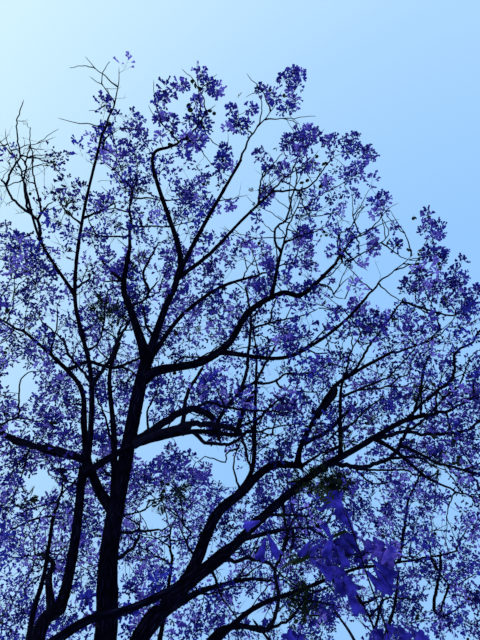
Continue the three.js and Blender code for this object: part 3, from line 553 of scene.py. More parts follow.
class Dice:
    """A seeded stream of numbers from 0 to 1, the same stream that the solids draw from."""

    MASK = 0xFFFFFFFF
    STEP = 0x6D2B79F5

    def __init__(self, seed: int) -> None:
        """Starts the stream at a seed."""
        self.state = seed & self.MASK

    def roll(self) -> float:
        """The stream's next number."""
        self.state = (self.state + self.STEP) & self.MASK
        mixed = ((self.state ^ (self.state >> 15)) * (1 | self.state)) & self.MASK
        mixed = ((mixed + (mixed ^ (mixed >> 7)) * (61 | mixed)) & self.MASK) ^ mixed
        return ((mixed ^ (mixed >> 14)) & self.MASK) / (self.MASK + 1)


class Path:
    """A smooth curve through joints, measured by its arc length."""

    def __init__(self, joints: Array) -> None:
        """Takes the joints, (n, 3), and measures the curve."""
        ends = 2 * joints[[0, -1]] - joints[[1, -2]]
        self.spans = len(joints) - 1
        self.guides = np.vstack([ends[:1], joints, ends[1:]])
        self.steps = np.linspace(0.0, 1.0, ARC_STEPS + 1)
        gaps = np.linalg.norm(np.diff(self._at_step(self.steps), axis=0), axis=1)
        self.marks = np.concatenate([[0.0], np.cumsum(gaps)])

    @property
    def length(self) -> float:
        """The curve's length."""
        return float(self.marks[-1])

    def _at_step(self, steps: Array) -> Array:
        """Points at parameters from 0 to 1, which run evenly over the spans."""
        place = np.clip(steps, 0.0, 1.0) * self.spans
        span = np.minimum(place.astype(int), self.spans - 1)
        w = (place - span)[:, None]
        before, start, end, after = (self.guides[span + k] for k in range(4))
        leaving, arriving = TENSION * (end - before), TENSION * (after - start)
        square = -3 * start + 3 * end - 2 * leaving - arriving
        cube = 2 * start - 2 * end + leaving + arriving
        return start + leaving * w + square * w**2 + cube * w**3

    def _steps(self, shares: Array) -> Array:
        """Parameters for shares of the length."""
        return np.interp(np.asarray(shares, float) * self.length, self.marks, self.steps)

    def points(self, shares: Array) -> Array:
        """Points at shares of the length."""
        return self._at_step(self._steps(shares))

    def tangents(self, shares: Array) -> Array:
        """Unit tangents at shares of the length."""
        steps = self._steps(shares)
        ahead, back = np.minimum(steps + TANGENT_STEP, 1.0), np.maximum(steps - TANGENT_STEP, 0.0)
        return unit(self._at_step(ahead) - self._at_step(back))


# Meshes

# How upright a tube has to be to take +X for its reference, as a share, and the finest tubes' sides
STEEP = 0.9
FINE_SIDES = 3


def tubes(centres: Array, radii: Array, sides: int) -> tuple[Array, Array]:
    """Closed round tubes that end in points.

    Args:
        centres: the rings' centres and last the point, (tubes, rings + 1, 3).
        radii: the rings' radii, (tubes, rings) or (tubes, rings, sides).
        sides: how many sides a tube has.

    Returns:
        The vertices, (n, 3), and the triangles, (m, 3).
    """
    count, rings = centres.shape[0], centres.shape[1] - 1
    tangents = unit(np.gradient(centres, axis=1))
    mean = unit(centres[:, -1] - centres[:, 0])
    reference = np.where(np.abs(mean[:, 2:]) > STEEP, [[1.0, 0.0, 0.0]], UP[None])
    side = np.cross(reference, mean)[:, None]
    side = unit(side - tangents * np.sum(side * tangents, axis=-1, keepdims=True))[:, :-1]
    across = np.cross(side, tangents[:, :-1])
    angles = np.arange(sides) * math.tau / sides
    if radii.ndim == 2:
        radii = np.repeat(radii[..., None], sides, axis=2)
    spokes = side[:, :, None] * np.cos(angles)[None, None, :, None]
    spokes = spokes + across[:, :, None] * np.sin(angles)[None, None, :, None]
    skin = centres[:, :-1, None] + spokes * radii[..., None]
    vertices = np.concatenate([skin.reshape(count, -1, 3), centres[:, -1:]], axis=1)
    return vertices.reshape(-1, 3), repeated(tube_triangles(rings, sides), count, rings * sides + 1)


def tube_triangles(rings: int, sides: int) -> Array:
    """The triangles of one tube of rings that ends in a point, with a flat foot."""
    ring, spoke = np.meshgrid(np.arange(rings - 1), np.arange(sides), indexing="ij")
    here, next_one = ring * sides + spoke, ring * sides + (spoke + 1) % sides
    above, next_above = here + sides, next_one + sides
    walls = [np.stack([here, above, next_above], -1), np.stack([here, next_above, next_one], -1)]
    last = (rings - 1) * sides + np.arange(sides)
    point = np.stack([last, np.full(sides, rings * sides), np.roll(last, -1)], -1)
    fan = np.arange(1, sides - 1)
    foot = np.stack([np.zeros(sides - 2, int), fan, fan + 1], -1)
    return np.concatenate([*(w.reshape(-1, 3) for w in walls), point, foot])


def repeated(triangles: Array, count: int, step: int) -> Array:
    """The same triangles for a number of shapes whose vertices follow each other by a step."""
    return (triangles[None] + (np.arange(count) * step)[:, None, None]).reshape(-1, 3)


class MeshStore:
    """Gathers vertices and triangles and makes one mesh of them."""

    def __init__(self) -> None:
        """Starts empty."""
        self.vertices: list[Array] = []
        self.triangles: list[Array] = []
        self.count = 0

    def add(self, vertices: Array, triangles: Array) -> None:
        """Adds a shape's vertices and triangles."""
        self.vertices.append(vertices)
        self.triangles.append(triangles + self.count)
        self.count += len(vertices)

    def add_tubes(self, centres: Array, radii: Array, sides: int) -> None:
        """Adds closed round tubes that end in points."""
        self.add(*tubes(centres, radii, sides))

    def mesh(self, name: str) -> bpy.types.Mesh:
        """The mesh of all that was added."""
        vertices, triangles = np.concatenate(self.vertices), np.concatenate(self.triangles)
        mesh = bpy.data.meshes.new(name)
        mesh.from_pydata(vertices.tolist(), [], triangles.tolist())
        mesh.update()
        return mesh


def shown(name: str, mesh: bpy.types.Mesh, material: Material | None = None) -> bpy.types.Object:
    """A new object at the origin that shows a mesh, with a material if one is given."""
    piece = bpy.data.objects.new(name, mesh)
    bpy.context.scene.collection.objects.link(piece)
    if material:
        mesh.materials.append(material)
    return piece


def finish_piece(piece: bpy.types.Object, nodes: list[str]) -> None:
    """Puts a piece on the tree's body, hides the solids that it stands for, and logs it."""
    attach(piece, "root")
    if nodes:
        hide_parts(*nodes)
    LOG.info("%s: %d faces, stands for %s", piece.name, len(piece.data.polygons), nodes or "no solid")


def stored_piece(name: str, store: MeshStore, material: Material, nodes: list[str]) -> None:
    """Makes one finished piece of all that a store holds."""
    finish_piece(shown(name, store.mesh(name), material), nodes)


# Finishes

# A mix node's sockets for its two colours and for what comes out, by number
MIX_FIRST, MIX_SECOND, MIX_RESULT = 6, 7, 2
WHITE = (1.0, 1.0, 1.0)
DRIFT_DETAIL = 3.0


class Sheet:
    """A node tree with a short way to add nodes and join them."""

    def __init__(self, tree: bpy.types.NodeTree) -> None:
        """Takes the tree to draw on."""
        self.tree = tree

    def add(
        self, kind: str, joins: dict[str | int, object] | None = None, **settings: object,
    ) -> bpy.types.Node:
        """Adds a node.

        Args:
            kind: the node's type.
            joins: for each input, a socket to join it to or a value for it.
            **settings: the node's own settings.

        Returns:
            The node.
        """
        node = self.tree.nodes.new(kind)
        for key, value in settings.items():
            setattr(node, key, value)
        self.join(node, joins or {})
        return node

    def join(self, node: bpy.types.Node, joins: dict[str | int, object]) -> None:
        """Joins each named input of a node to a socket, or sets it to a value."""
        for key, value in joins.items():
            if isinstance(value, Socket):
                self.tree.links.new(value, node.inputs[key])
            else:
                node.inputs[key].default_value = value

    def math(self, operation: str, first: object, second: object, **settings: object) -> Socket:
        """What a math node makes of two inputs."""
        node = self.add("ShaderNodeMath", {0: first, 1: second}, operation=operation, **settings)
        return node.outputs[0]

    def ramp(self, factor: Socket, *stops: tuple[float, Colour]) -> Socket:
        """A colour ramp over a factor, with stops of (place, colour)."""
        node = self.add("ShaderNodeValToRGB", {"Fac": factor})
        elements = node.color_ramp.elements
        while len(elements) < len(stops):
            elements.new(0.5)
        for element, (place, colour) in zip(elements, stops, strict=True):
            element.position = place
            element.color = (*colour, 1.0)
        return node.outputs["Color"]


def new_material(name: str) -> tuple[Material, Sheet, bpy.types.Node]:
    """A new material, its tree's sheet and its shader."""
    material = bpy.data.materials.new(name)
    material.use_nodes = True
    return material, Sheet(material.node_tree), material.node_tree.nodes["Principled BSDF"]


@dataclass(frozen=True)
class BarkFinish:
    """Bark with long scaly ridges that follow the limb, and paler, weathered patches. Its tones are painted
    shade: near-black with a blue cast, as a backlit limb looks against the sky.
    """

    name: str = "jacaranda_bark"
    # Painted shade: all three tones are near-black with a blue cast, darker than the grey-brown bark itself
    fissure: Colour = (0.0005, 0.0007, 0.0038)
    ridge: Colour = (0.0024, 0.0028, 0.0135)
    weathered: Colour = (0.0090, 0.0085, 0.0260)
    ridges_across: float = 70.0
    ridges_along: float = 11.0
    grain_detail: float = 6.0
    grain_roughness: float = 0.62
    plate_scale: float = 0.55
    crack_sharpness: float = 3.2
    tone_places: Triple = (0.08, 0.38, 0.62)
    patch_scale: float = 1.9
    patch_places: Pair = (0.40, 0.66)
    patch_shade: Colour = (0.55, 0.52, 0.60)
    roughness: Pair = (0.98, 0.74)
    bump_height: float = 0.006
    bump_strength: float = 0.8
    shine: float = 0.01

    def material(self) -> Material:
        """Builds the bark's material on the limb's own map, in metres round and along it."""
        material, sheet, shader = new_material(self.name)
        wrap = sheet.add("ShaderNodeUVMap", uv_map="bark").outputs["UV"]
        stretch = (self.ridges_across, self.ridges_along, 1.0)
        grain = sheet.add("ShaderNodeVectorMath", {0: wrap, 1: stretch}, operation="MULTIPLY").outputs[0]
        scales = sheet.add("ShaderNodeTexNoise", {
            "Vector": grain, "Scale": 1.0, "Detail": self.grain_detail, "Roughness": self.grain_roughness})
        cracks = sheet.add(
            "ShaderNodeTexVoronoi", {"Vector": grain, "Scale": self.plate_scale}, feature="DISTANCE_TO_EDGE")
        depth = sheet.math("MULTIPLY", cracks.outputs["Distance"], self.crack_sharpness, use_clamp=True)
        height = sheet.math("MULTIPLY", scales.outputs["Fac"], depth)
        tones = (self.fissure, self.ridge, self.weathered)
        base = sheet.ramp(height, *zip(self.tone_places, tones, strict=True))
        place = sheet.add("ShaderNodeTexCoord").outputs["Object"]
        patches = sheet.add(
            "ShaderNodeTexNoise", {"Vector": place, "Scale": self.patch_scale, "Detail": DRIFT_DETAIL})
        shades = (self.patch_shade, WHITE)
        shade = sheet.ramp(patches.outputs["Fac"], *zip(self.patch_places, shades, strict=True))
        colour = sheet.add(
            "ShaderNodeMix", {"Factor": 1.0, MIX_FIRST: base, MIX_SECOND: shade},
            data_type="RGBA", blend_type="MULTIPLY")
        low, high = self.roughness
        rough = sheet.add("ShaderNodeMapRange", {"Value": height, "To Min": low, "To Max": high})
        relief = sheet.add("ShaderNodeBump", {
            "Height": height, "Strength": self.bump_strength, "Distance": self.bump_height})
        sheet.join(shader, {
            "Base Color": colour.outputs[MIX_RESULT], "Roughness": rough.outputs[0],
            "Normal": relief.outputs[0], "Specular IOR Level": self.shine})
        return material


@dataclass(frozen=True)
class MottledFinish:
    """A finish whose colour drifts between two tones over its surface: blossom, leaf, twig or pod."""

    name: str
    dark: Colour
    pale: Colour
    scale: float
    roughness: float
    bump_height: float = 0.0
    sheen: float = 0.0
    shine: float = 0.02
    tone_places: Pair = (0.36, 0.64)
    roughness_sway: float = 0.08
    bump_strength: float = 0.7

    def material(self) -> Material:
        """Builds the material on the object's own coordinates."""
        material, sheet, shader = new_material(self.name)
        place = sheet.add("ShaderNodeTexCoord").outputs["Object"]
        drift = sheet.add(
            "ShaderNodeTexNoise", {"Vector": place, "Scale": self.scale, "Detail": DRIFT_DETAIL})
        tones = (self.dark, self.pale)
        colour = sheet.ramp(drift.outputs["Fac"], *zip(self.tone_places, tones, strict=True))
        rough = sheet.add("ShaderNodeMapRange", {
            "Value": drift.outputs["Fac"], "To Min": self.roughness + self.roughness_sway,
            "To Max": self.roughness - self.roughness_sway})
        sheet.join(shader, {
            "Base Color": colour, "Roughness": rough.outputs[0], "Sheen Weight": self.sheen,
            "Specular IOR Level": self.shine})
        if self.bump_height:
            relief = sheet.add("ShaderNodeBump", {
                "Height": drift.outputs["Fac"], "Strength": self.bump_strength,
                "Distance": self.bump_height})
            sheet.join(shader, {"Normal": relief.outputs[0]})
        return material


PETAL_SCALE = 26.0
PETAL_ROUGHNESS = 0.7
# Branches, twigs and the near stalks take the painted shade of TWIG_TONES
BRANCH_BARK = MottledFinish("branch_bark", *TWIG_TONES, 14.0, 0.85, 0.002)
TWIG_BARK = MottledFinish("twig_bark", *TWIG_TONES, 14.0, 0.85, 0.001)
FLOWER_STALK = MottledFinish("flower_stalk", (0.004, 0.004, 0.012), (0.012, 0.011, 0.026), 20.0, 0.8)
NEAR_STALK = MottledFinish("near_stalk", *TWIG_TONES, 60.0, 0.8)
NEAR_PETAL = MottledFinish(
    "near_petal", (0.006, 0.005, 0.140), (0.036, 0.028, 0.400), 55.0, 0.55, 0.0006, 0.05)
NEAR_LILAC = MottledFinish(
    "near_lilac", (0.024, 0.018, 0.300), (0.105, 0.068, 0.500), 60.0, 0.55, 0.0006, 0.05)
YOUNG_LEAF = MottledFinish("young_leaf", (0.003, 0.006, 0.005), (0.014, 0.026, 0.016), 9.0, 0.6)
GREEN_POD = MottledFinish("green_pod", (0.004, 0.007, 0.006), (0.016, 0.026, 0.018), 30.0, 0.7)
RIPE_POD = MottledFinish("ripe_pod", (0.006, 0.004, 0.005), (0.030, 0.018, 0.018), 30.0, 0.7)
PALE_FLOOR = MottledFinish("pale_floor", (0.60, 0.61, 0.62), (0.64, 0.65, 0.66), 0.8, 0.8)


# Limbs


@dataclass
class Limb:
    """One limb of the tree: its row, its curve and the limb that it grows from."""

    row: LimbRow
    path: Path
    parent: "Limb | None"

    def radii(self, shares: Array) -> Array:
        """Radii at shares of the limb's length."""
        power = 1.0 if self.parent else TRUNK_TAPER_POWER
        return (self.row.tip + (self.row.foot - self.row.tip) * (1 - shares) ** power) / 2

    def solid_shares(self) -> Array:
        """The shares of the length where the limb's solid has its rings."""
        if not self.parent:
            return (np.arange(TRUNK_RINGS + 1) / TRUNK_RINGS) ** TRUNK_RING_BUNCHING
        rings = max(FEWEST_RINGS, math.floor(self.path.length / RING_SPACING + 0.5))
        return np.arange(rings + 1) / rings


@dataclass(frozen=True)
class BarkSkin:
    """The fine bark mesh of a limb: ridges, knots, a collar at its foot and, on the trunk, the flare."""

    trunk_sides: int = 64
    trunk_spacing: float = 0.016
    fewest_rings: int = 8
    thick_girth: float = 0.1
    thick_sides: int = 26
    thin_sides: int = 16
    spacing: float = 0.032
    ridge_width: float = 0.03
    ridge_stretch: float = 0.22
    ridge_height: float = 0.0055
    slim_ridge_share: float = 0.06
    least_ridge: float = 0.0006
    crest: float = 0.5
    furrow: float = 2.2
    uneven_share: float = 0.07
    uneven_scale: float = 9.0
    uneven_stretch: float = 2.3
    shift_by_name: float = 7.3
    shift_by_place: float = 31.0
    collar_share: float = 0.42
    collar_reach: float = 0.085
    knot_spacing: float = 0.42
    knot_share: float = 0.17
    knot_strength: Pair = (0.3, 1.0)
    trunk_knot_share: float = 0.35
    knot_width: float = 0.045
    first_knot: float = 0.25
    seed_by_name: int = 17
    seed_by_place: int = 1000
    level_height: float = 0.12
    tip_reach: float = 0.8

    def relief(self, limb: Limb, shares: Array, radii: Array, sides: int) -> Array:
        """The bark's height over each ring and side.

        Args:
            limb: the limb.
            shares: the rings' shares of the length.
            radii: the rings' radii.
            sides: how many sides the mesh has.

        Returns:
            Heights in metres, (rings, sides).
        """
        shift = self.shift_by_name * len(limb.row.name) + self.shift_by_place * limb.row.at
        angles = np.arange(sides) * math.tau / sides
        heights = np.empty((len(shares), sides))
        fine, wide = 1 / self.ridge_width, self.uneven_scale
        for i, (share, radius) in enumerate(zip(shares, radii, strict=True)):
            along = share * limb.path.length
            height = min(self.ridge_height, self.slim_ridge_share * radius + self.least_ridge)
            for k, angle in enumerate(angles):
                x, y = math.cos(angle) * radius, math.sin(angle) * radius
                ridge = noise.noise(Vector((x * fine + shift, y * fine, along * fine * self.ridge_stretch)))
                swell = noise.noise(Vector((x * wide, y * wide + shift, along * self.uneven_stretch)))
                relief = height * (self.crest - self.furrow * abs(ridge))
                heights[i, k] = relief + self.uneven_share * radius * swell
        return heights

    def swelling(self, limb: Limb, shares: Array) -> Array:
        """How far each ring is swollen by the collar at the limb's foot and by knots, as factors."""
        factors = np.ones(len(shares))
        along = shares * limb.path.length
        if limb.parent:
            hidden = float(limb.parent.radii(np.array([limb.row.at]))[0])
            factors += self.collar_share * np.exp(-np.maximum(along - hidden, 0.0) / self.collar_reach)
        rng = Rng(len(limb.row.name) * self.seed_by_name + int(limb.row.at * self.seed_by_place))
        knots = max(2, int(limb.path.length / self.knot_spacing))
        places = rng.uniform(self.first_knot, limb.path.length, knots)
        strengths = rng.uniform(*self.knot_strength, knots) * self.knot_share
        strengths *= 1.0 if limb.parent else self.trunk_knot_share
        for place, strength in zip(places, strengths, strict=True):
            factors += strength * np.exp(-(((along - place) / self.knot_width) ** 2))
        return factors

    def build(self, limb: Limb, material: Material) -> None:
        """Makes the limb's bark as a piece that stands for the limb's solid."""
        thick = limb.row.foot > self.thick_girth
        sides = self.trunk_sides if not limb.parent else self.thick_sides if thick else self.thin_sides
        spacing = self.spacing if limb.parent else self.trunk_spacing
        rings = max(self.fewest_rings, int(limb.path.length / spacing))
        shares = np.linspace(0.0, 1.0, rings)
        centres, tangents, radii = limb.path.points(shares), limb.path.tangents(shares), limb.radii(shares)
        widths = (radii * self.swelling(limb, shares))[:, None] + self.relief(limb, shares, radii, sides)
        angles = np.arange(sides) * math.tau / sides
        if not limb.parent:
            flare = FLARE_SHARE * np.exp(-centres[:, 2] / FLARE_HEIGHT)[:, None]
            widths += radii[:, None] * flare * (1 + LOBE_SHARE * np.cos(FLARE_LOBES * angles)[None])
        side, skin = np.array([0.0, 1.0, 0.0]), np.empty((rings, sides, 3))
        for i, tangent in enumerate(tangents):
            side = unit(side - tangent * float(side @ tangent))
            across = np.cross(side, tangent)
            spokes = np.outer(np.cos(angles), side) + np.outer(np.sin(angles), across)
            skin[i] = centres[i] + spokes * widths[i][:, None]
        if not limb.parent:
            level = centres[:, None, 2]
            skin[..., 2] = level + (skin[..., 2] - level) * (1 - np.exp(-level / self.level_height))
        point = centres[-1] + tangents[-1] * radii[-1] * self.tip_reach
        store = MeshStore()
        store.add(np.vstack([skin.reshape(-1, 3), point]), tube_triangles(rings, sides))
        mesh = store.mesh("bark_" + limb.row.name)
        self.wrap(mesh, rings, sides, shares * limb.path.length, radii)
        mesh.shade_smooth()
        finish_piece(shown(mesh.name, mesh, material), [limb.row.name])

    @staticmethod
    def wrap(mesh: bpy.types.Mesh, rings: int, sides: int, along: Array, radii: Array) -> None:
        """Adds the map "bark": metres round the limb and along it, with one seam."""
        corners = np.empty(len(mesh.loops), int)
        mesh.loops.foreach_get("vertex_index", corners)
        corners = corners.reshape(-1, 3)
        ring, spoke = np.minimum(corners // sides, rings - 1), corners % sides
        over_seam = (spoke.max(axis=1) - spoke.min(axis=1) > sides // 2)[:, None] & (spoke == 0)
        spoke = np.where(over_seam, sides, spoke)
        u = spoke * math.tau * float(radii.mean()) / sides
        layer = mesh.uv_layers.new(name="bark")
        layer.data.foreach_set("uv", np.stack([u, along[ring]], -1).astype(np.float32).ravel())


class Skeleton:
    """All the limbs, laid out as the solids are."""

    def __init__(self) -> None:
        """Lays out each limb from its row and gathers the straight stretches between solid rings."""
        self.limbs: dict[str, Limb] = {}
        starts, ends, radii, owners = [], [], [], []
        for index, row in enumerate(LIMB_ROWS):
            parent = self.limbs.get(row.parent)
            joints = [parent.path.points(np.array([row.at]))[0] if parent else np.zeros(3)]
            for length, bearing, rise in row.reaches:
                joints.append(joints[-1] + direction(bearing, rise) * length)
            limb = Limb(row, Path(np.array(joints)), parent)
            self.limbs[row.name] = limb
            shares = limb.solid_shares()
            places = limb.path.points(shares)
            starts.append(places[:-1])
            ends.append(places[1:])
            radii.append(limb.radii(shares[:-1]))
            owners.append(np.full(len(shares) - 1, index))
        self.starts, self.ends = np.concatenate(starts), np.concatenate(ends)
        self.radii, self.owners = np.concatenate(radii), np.concatenate(owners)

    def rooms(self, a: Array, b: Array) -> Array:
        """The least distances from the straight piece a-b to the surface of every stretch of limb."""
        u, v, w = b - a, self.ends - self.starts, a - self.starts
        uu, uv, vv = u @ u, v @ u, np.sum(v * v, axis=1)
        uw, vw = w @ u, np.sum(v * w, axis=1)
        spread = uu * vv - uv * uv
        apart = spread > PARALLEL
        s = np.where(apart, np.clip((uv * vw - vv * uw) / np.where(apart, spread, 1), 0, 1), 0)
        t = np.clip((uv * s + vw) / vv, 0, 1)
        s = np.clip((uv * t - uw) / uu, 0, 1)
        gap = a + u * s[:, None] - self.starts - v * t[:, None]
        return np.linalg.norm(gap, axis=1) - self.radii

    def clearances(self, points: Array) -> Array:
        """Each point's distance to the nearest limb's surface."""
        v = self.ends - self.starts
        w = points[:, None] - self.starts[None]
        t = np.clip(np.sum(w * v, axis=2) / np.sum(v * v, axis=1), 0, 1)
        return (np.linalg.norm(w - v * t[..., None], axis=2) - self.radii).min(axis=1)


# Masses of twigs and blossom


@dataclass(frozen=True)
class Sight:
    """The sight lines from the eye under the crown that stay open to the sky."""

    eye: Triple = (1.95, -4.0, 1.55)
    right: Triple = (0.9531, 0.2921, -0.0788)
    upward: Triple = (0.3026, -0.9202, 0.2483)
    ahead: Triple = (0.0, 0.2605, 0.9655)
    focal: float = 490.0
    middle: Pair = (240.0, 320.0)
    least_depth: float = 0.01
    framed_depth: float = 0.3
    edge_room: float = 6.0

    def seen(self, points: Array) -> tuple[Array, Array, Array]:
        """Where points appear, in pixels from the image's left and top, and how far ahead they are."""
        rays = points - np.array(self.eye)
        depth = rays @ np.array(self.ahead)
        safe = np.maximum(depth, self.least_depth)
        x = self.middle[0] + self.focal * (rays @ np.array(self.right)) / safe
        y = self.middle[1] - self.focal * (rays @ np.array(self.upward)) / safe
        return x, y, depth

    def spot(self, x: float, y: float, depth: float) -> Array:
        """The point that appears at a place in the image, in pixels, at a depth ahead of the eye."""
        right = np.array(self.right) * (x - self.middle[0]) / self.focal
        upward = np.array(self.upward) * (self.middle[1] - y) / self.focal
        return np.array(self.eye) + depth * (np.array(self.ahead) + right + upward)

    def framed(self, points: Array, margin: float = 20.0) -> Array:
        """True for each point that shows in the frame or beside it within a margin in pixels."""
        x, y, depth = self.seen(points)
        across, down = np.abs(x - self.middle[0]), np.abs(y - self.middle[1])
        beside = (across < self.middle[0] + margin) & (down < self.middle[1] + margin)
        return (depth > self.framed_depth) & beside

    def within(self, points: Array, rounds: tuple[Triple, ...]) -> Array:
        """True for each point that shows in one of the rounds: places and radii in pixels."""
        x, y, _ = self.seen(points)
        marks = np.array(rounds, float)
        return (np.hypot(x[:, None] - marks[:, 0], y[:, None] - marks[:, 1]) < marks[:, 2]).any(axis=1)

    def allows(self, points: Array) -> Array:
        """True for each point that lies under the crown's edge and in none of its openings."""
        x, y, _ = self.seen(points)
        edge_x, edge_y = np.array(CROWN_EDGE, float).T
        allowed = y > np.interp(x, edge_x, edge_y) + self.edge_room
        for place_x, place_y, radius in OPENINGS:
            allowed &= np.hypot(x - place_x, y - place_y) > radius + self.edge_room
        return allowed | ~self.framed(points)


class Screen:
    """Where the limbs and side branches show from the eye, for blossom to keep from covering them."""

    LEAST_DEPTH = 0.1

    def __init__(self, sight: Sight) -> None:
        """Starts empty."""
        self.sight = sight
        self.points = np.empty((0, 3))
        self.marks = np.empty((0, 4))

    def add(self, points: Array, radii: Array, room: float) -> None:
        """Adds points along a limb with its radii there, and the room round it in pixels."""
        x, y, depth = self.sight.seen(points)
        self.points = np.vstack([self.points, points])
        half = radii * self.sight.focal / np.maximum(depth, self.LEAST_DEPTH) + room
        self.marks = np.vstack([self.marks, np.stack([x, y, depth, half], -1)])

    def nearest(self, x: float, y: float) -> tuple[Array, float]:
        """The limb's point that shows nearest to a place, and how far ahead of the eye it is."""
        best = int(np.argmin(np.hypot(self.marks[:, 0] - x, self.marks[:, 1] - y)))
        return self.points[best], float(self.marks[best, 2])

    def covered(self, points: Array) -> Array:
        """True for each point that shows in front of a limb."""
        x, y, depth = self.sight.seen(points)
        off = np.hypot(self.marks[:, 0] - x[:, None], self.marks[:, 1] - y[:, None])
        return ((off < self.marks[:, 3]) & (depth[:, None] < self.marks[:, 2])).any(axis=1)


@dataclass(frozen=True)
class Shoot:
    """A shoot as the solids have it: straight, from its root to the tip of the spray it ends in."""

    root: Array
    tip: Array
    girth: float

    @property
    def along(self) -> Array:
        """The shoot's direction."""
        return unit(self.tip - self.root)

    @property
    def length(self) -> float:
        """The shoot's length."""
        return float(np.linalg.norm(self.tip - self.root))


@dataclass
class Mass:
    """One mass: its bough, reach, girth, place, heading and seed, and the shoots that it grows."""

    bough: str
    bloom: float
    girth: float
    tip: Array
    heading: Array
    centre: Array
    seed: int
    shoots: list[Shoot] = field(default_factory=list)


class Crown:
    """The masses at the boughs' tips. Each keeps to a ball of its own, cut off short of the others."""

    def __init__(self, skeleton: Skeleton) -> None:
        """Places the masses and grows the shoots that the solids have."""
        self.skeleton = skeleton
        self.masses: list[Mass] = []
        for limb in skeleton.limbs.values():
            if limb.row.bloom:
                row, end = limb.row, np.array([1.0])
                tip, heading = limb.path.points(end)[0], limb.path.tangents(end)[0]
                centre = tip + heading * row.bloom * CENTRE_SHARE
                seed = FIRST_SEED + len(self.masses)
                self.masses.append(Mass(row.name, row.bloom, row.tip, tip, heading, centre, seed))
        self.centres = np.array([m.centre for m in self.masses])
        self.blooms = np.array([m.bloom for m in self.masses])
        for mass in self.masses:
            self.grow_shoots(mass)

    def inside(self, points: Array, mass: Mass) -> Array:
        """True for each point that lies in a mass's own space."""
        own = mass.seed - FIRST_SEED
        squares = np.sum((points[:, None] - self.centres[None]) ** 2, axis=2) - self.blooms**2
        margins = 2 * PASSING_GAP * np.linalg.norm(self.centres - mass.centre, axis=1)
        free = squares - squares[:, own : own + 1] > margins
        free[:, own] = squares[:, own] < 0
        return free.all(axis=1)

    def fits(self, root: Array, tip: Array, girth: float, roll: float, mass: Mass, skipped: str) -> bool:
        """True if a shoot stays in its mass's space and passes the limbs.

        Args:
            root: where the shoot starts.
            tip: the tip of its spray.
            girth: its diameter at the root.
            roll: how far its spray is turned round it, in radians.
            mass: its mass.
            skipped: a limb that it may touch, or an empty name.

        Returns:
            Whether it fits.
        """
        bloom, along = mass.bloom, unit(tip - root)
        side = turned(unit(np.cross(UP, along)), along, np.array(roll))
        across = np.cross(side, along)
        neck = 1 - SPRAY_SHARE * bloom / float(np.linalg.norm(tip - root))
        belly = neck + SPRAY_BELLY * (1 - neck)
        half_width, half_depth = SPRAY_WIDTH_SHARE * bloom / 2, SPRAY_DEPTH_SHARE * bloom / 2
        corners = [root, tip]
        rings = ((0, girth / 2, girth / 2), (neck, girth / 3, girth / 3), (belly, half_width, half_depth))
        for share, wide, deep in rings:
            for angle in np.radians(SPRAY_CORNERS):
                radius = deep + (wide - deep) * abs(math.cos(angle))
                spoke = side * math.cos(angle) + across * math.sin(angle)
                corners.append(root + (tip - root) * share + spoke * radius)
        if not self.inside(np.array(corners), mass).all():
            return False
        start, shoulder = root + along * mass.girth, root + (tip - root) * neck
        free = self.skeleton.rooms(start, shoulder) - girth / 2 > PASSING_GAP
        free &= self.skeleton.rooms(shoulder, tip) - half_width > PASSING_GAP
        if skipped:
            free |= self.skeleton.owners == list(self.skeleton.limbs).index(skipped)
        return bool(free.all())

    def grow_shoots(self, mass: Mass) -> None:
        """Grows a mass's stem, twigs and side shoots by the solids' rule and their stream of numbers."""
        dice = Dice(mass.seed)

        def grow(root: Array, along: Array, reach: float, girth: float, skipped: str = "") -> Array | None:
            """Grows one shoot, trimmed until it fits, and gives its tip, or None if it got too short."""
            roll, length = math.pi * dice.roll(), reach
            while length > SHORTEST_TWIG_SHARE * mass.bloom:
                tip = root + along * length
                if self.fits(root, tip, girth, roll, mass, skipped):
                    mass.shoots.append(Shoot(root, tip, girth))
                    return tip
                length *= TWIG_TRIM
            return None

        root = mass.tip + mass.heading * MEETING_GAP
        end = grow(root, mass.heading, mass.bloom * STEM_SHARE, mass.girth * STEM_GIRTH_SHARE, mass.bough)
        for i in range(TWIGS):
            share = FIRST_TWIG_SHARE + (1 - SPRAY_SHARE - FIRST_TWIG_SHARE) * i / (TWIGS - 1)
            spread = WIDEST_SPREAD + (NARROWEST_SPREAD - WIDEST_SPREAD) * share
            spread += SPREAD_JITTER * (dice.roll() - 0.5)
            turn = GOLDEN_ANGLE * i + TURN_JITTER * dice.roll()
            along = leaning(mass.heading, np.array(turn), np.array(spread), np.array(TWIG_LIFT * dice.roll()))
            foot, girth = root + (end - root) * share, mass.girth * TWIG_GIRTH_SHARE
            tip = grow(foot, along, mass.bloom * TWIG_SHARE, girth)
            turn = 360 * dice.roll()
            lift = np.array(TWIG_LIFT * dice.roll())
            aside = leaning(along, np.array(turn), np.array(SIDE_SHOOT_SPREAD), lift)
            if tip is not None:
                knot = foot + (tip - foot) * SIDE_SHOOT_AT
                grow(knot, aside, mass.bloom * SIDE_SHOOT_SHARE, girth * SIDE_SHOOT_GIRTH_SHARE)


@dataclass
class Panicles:
    """Panicles of one kind: where each starts, its axis, length and tint, and its flowers' size."""

    kind: PanicleKind
    feet: Array
    axes: Array
    lengths: Array
    tints: Array
    flower_size: float


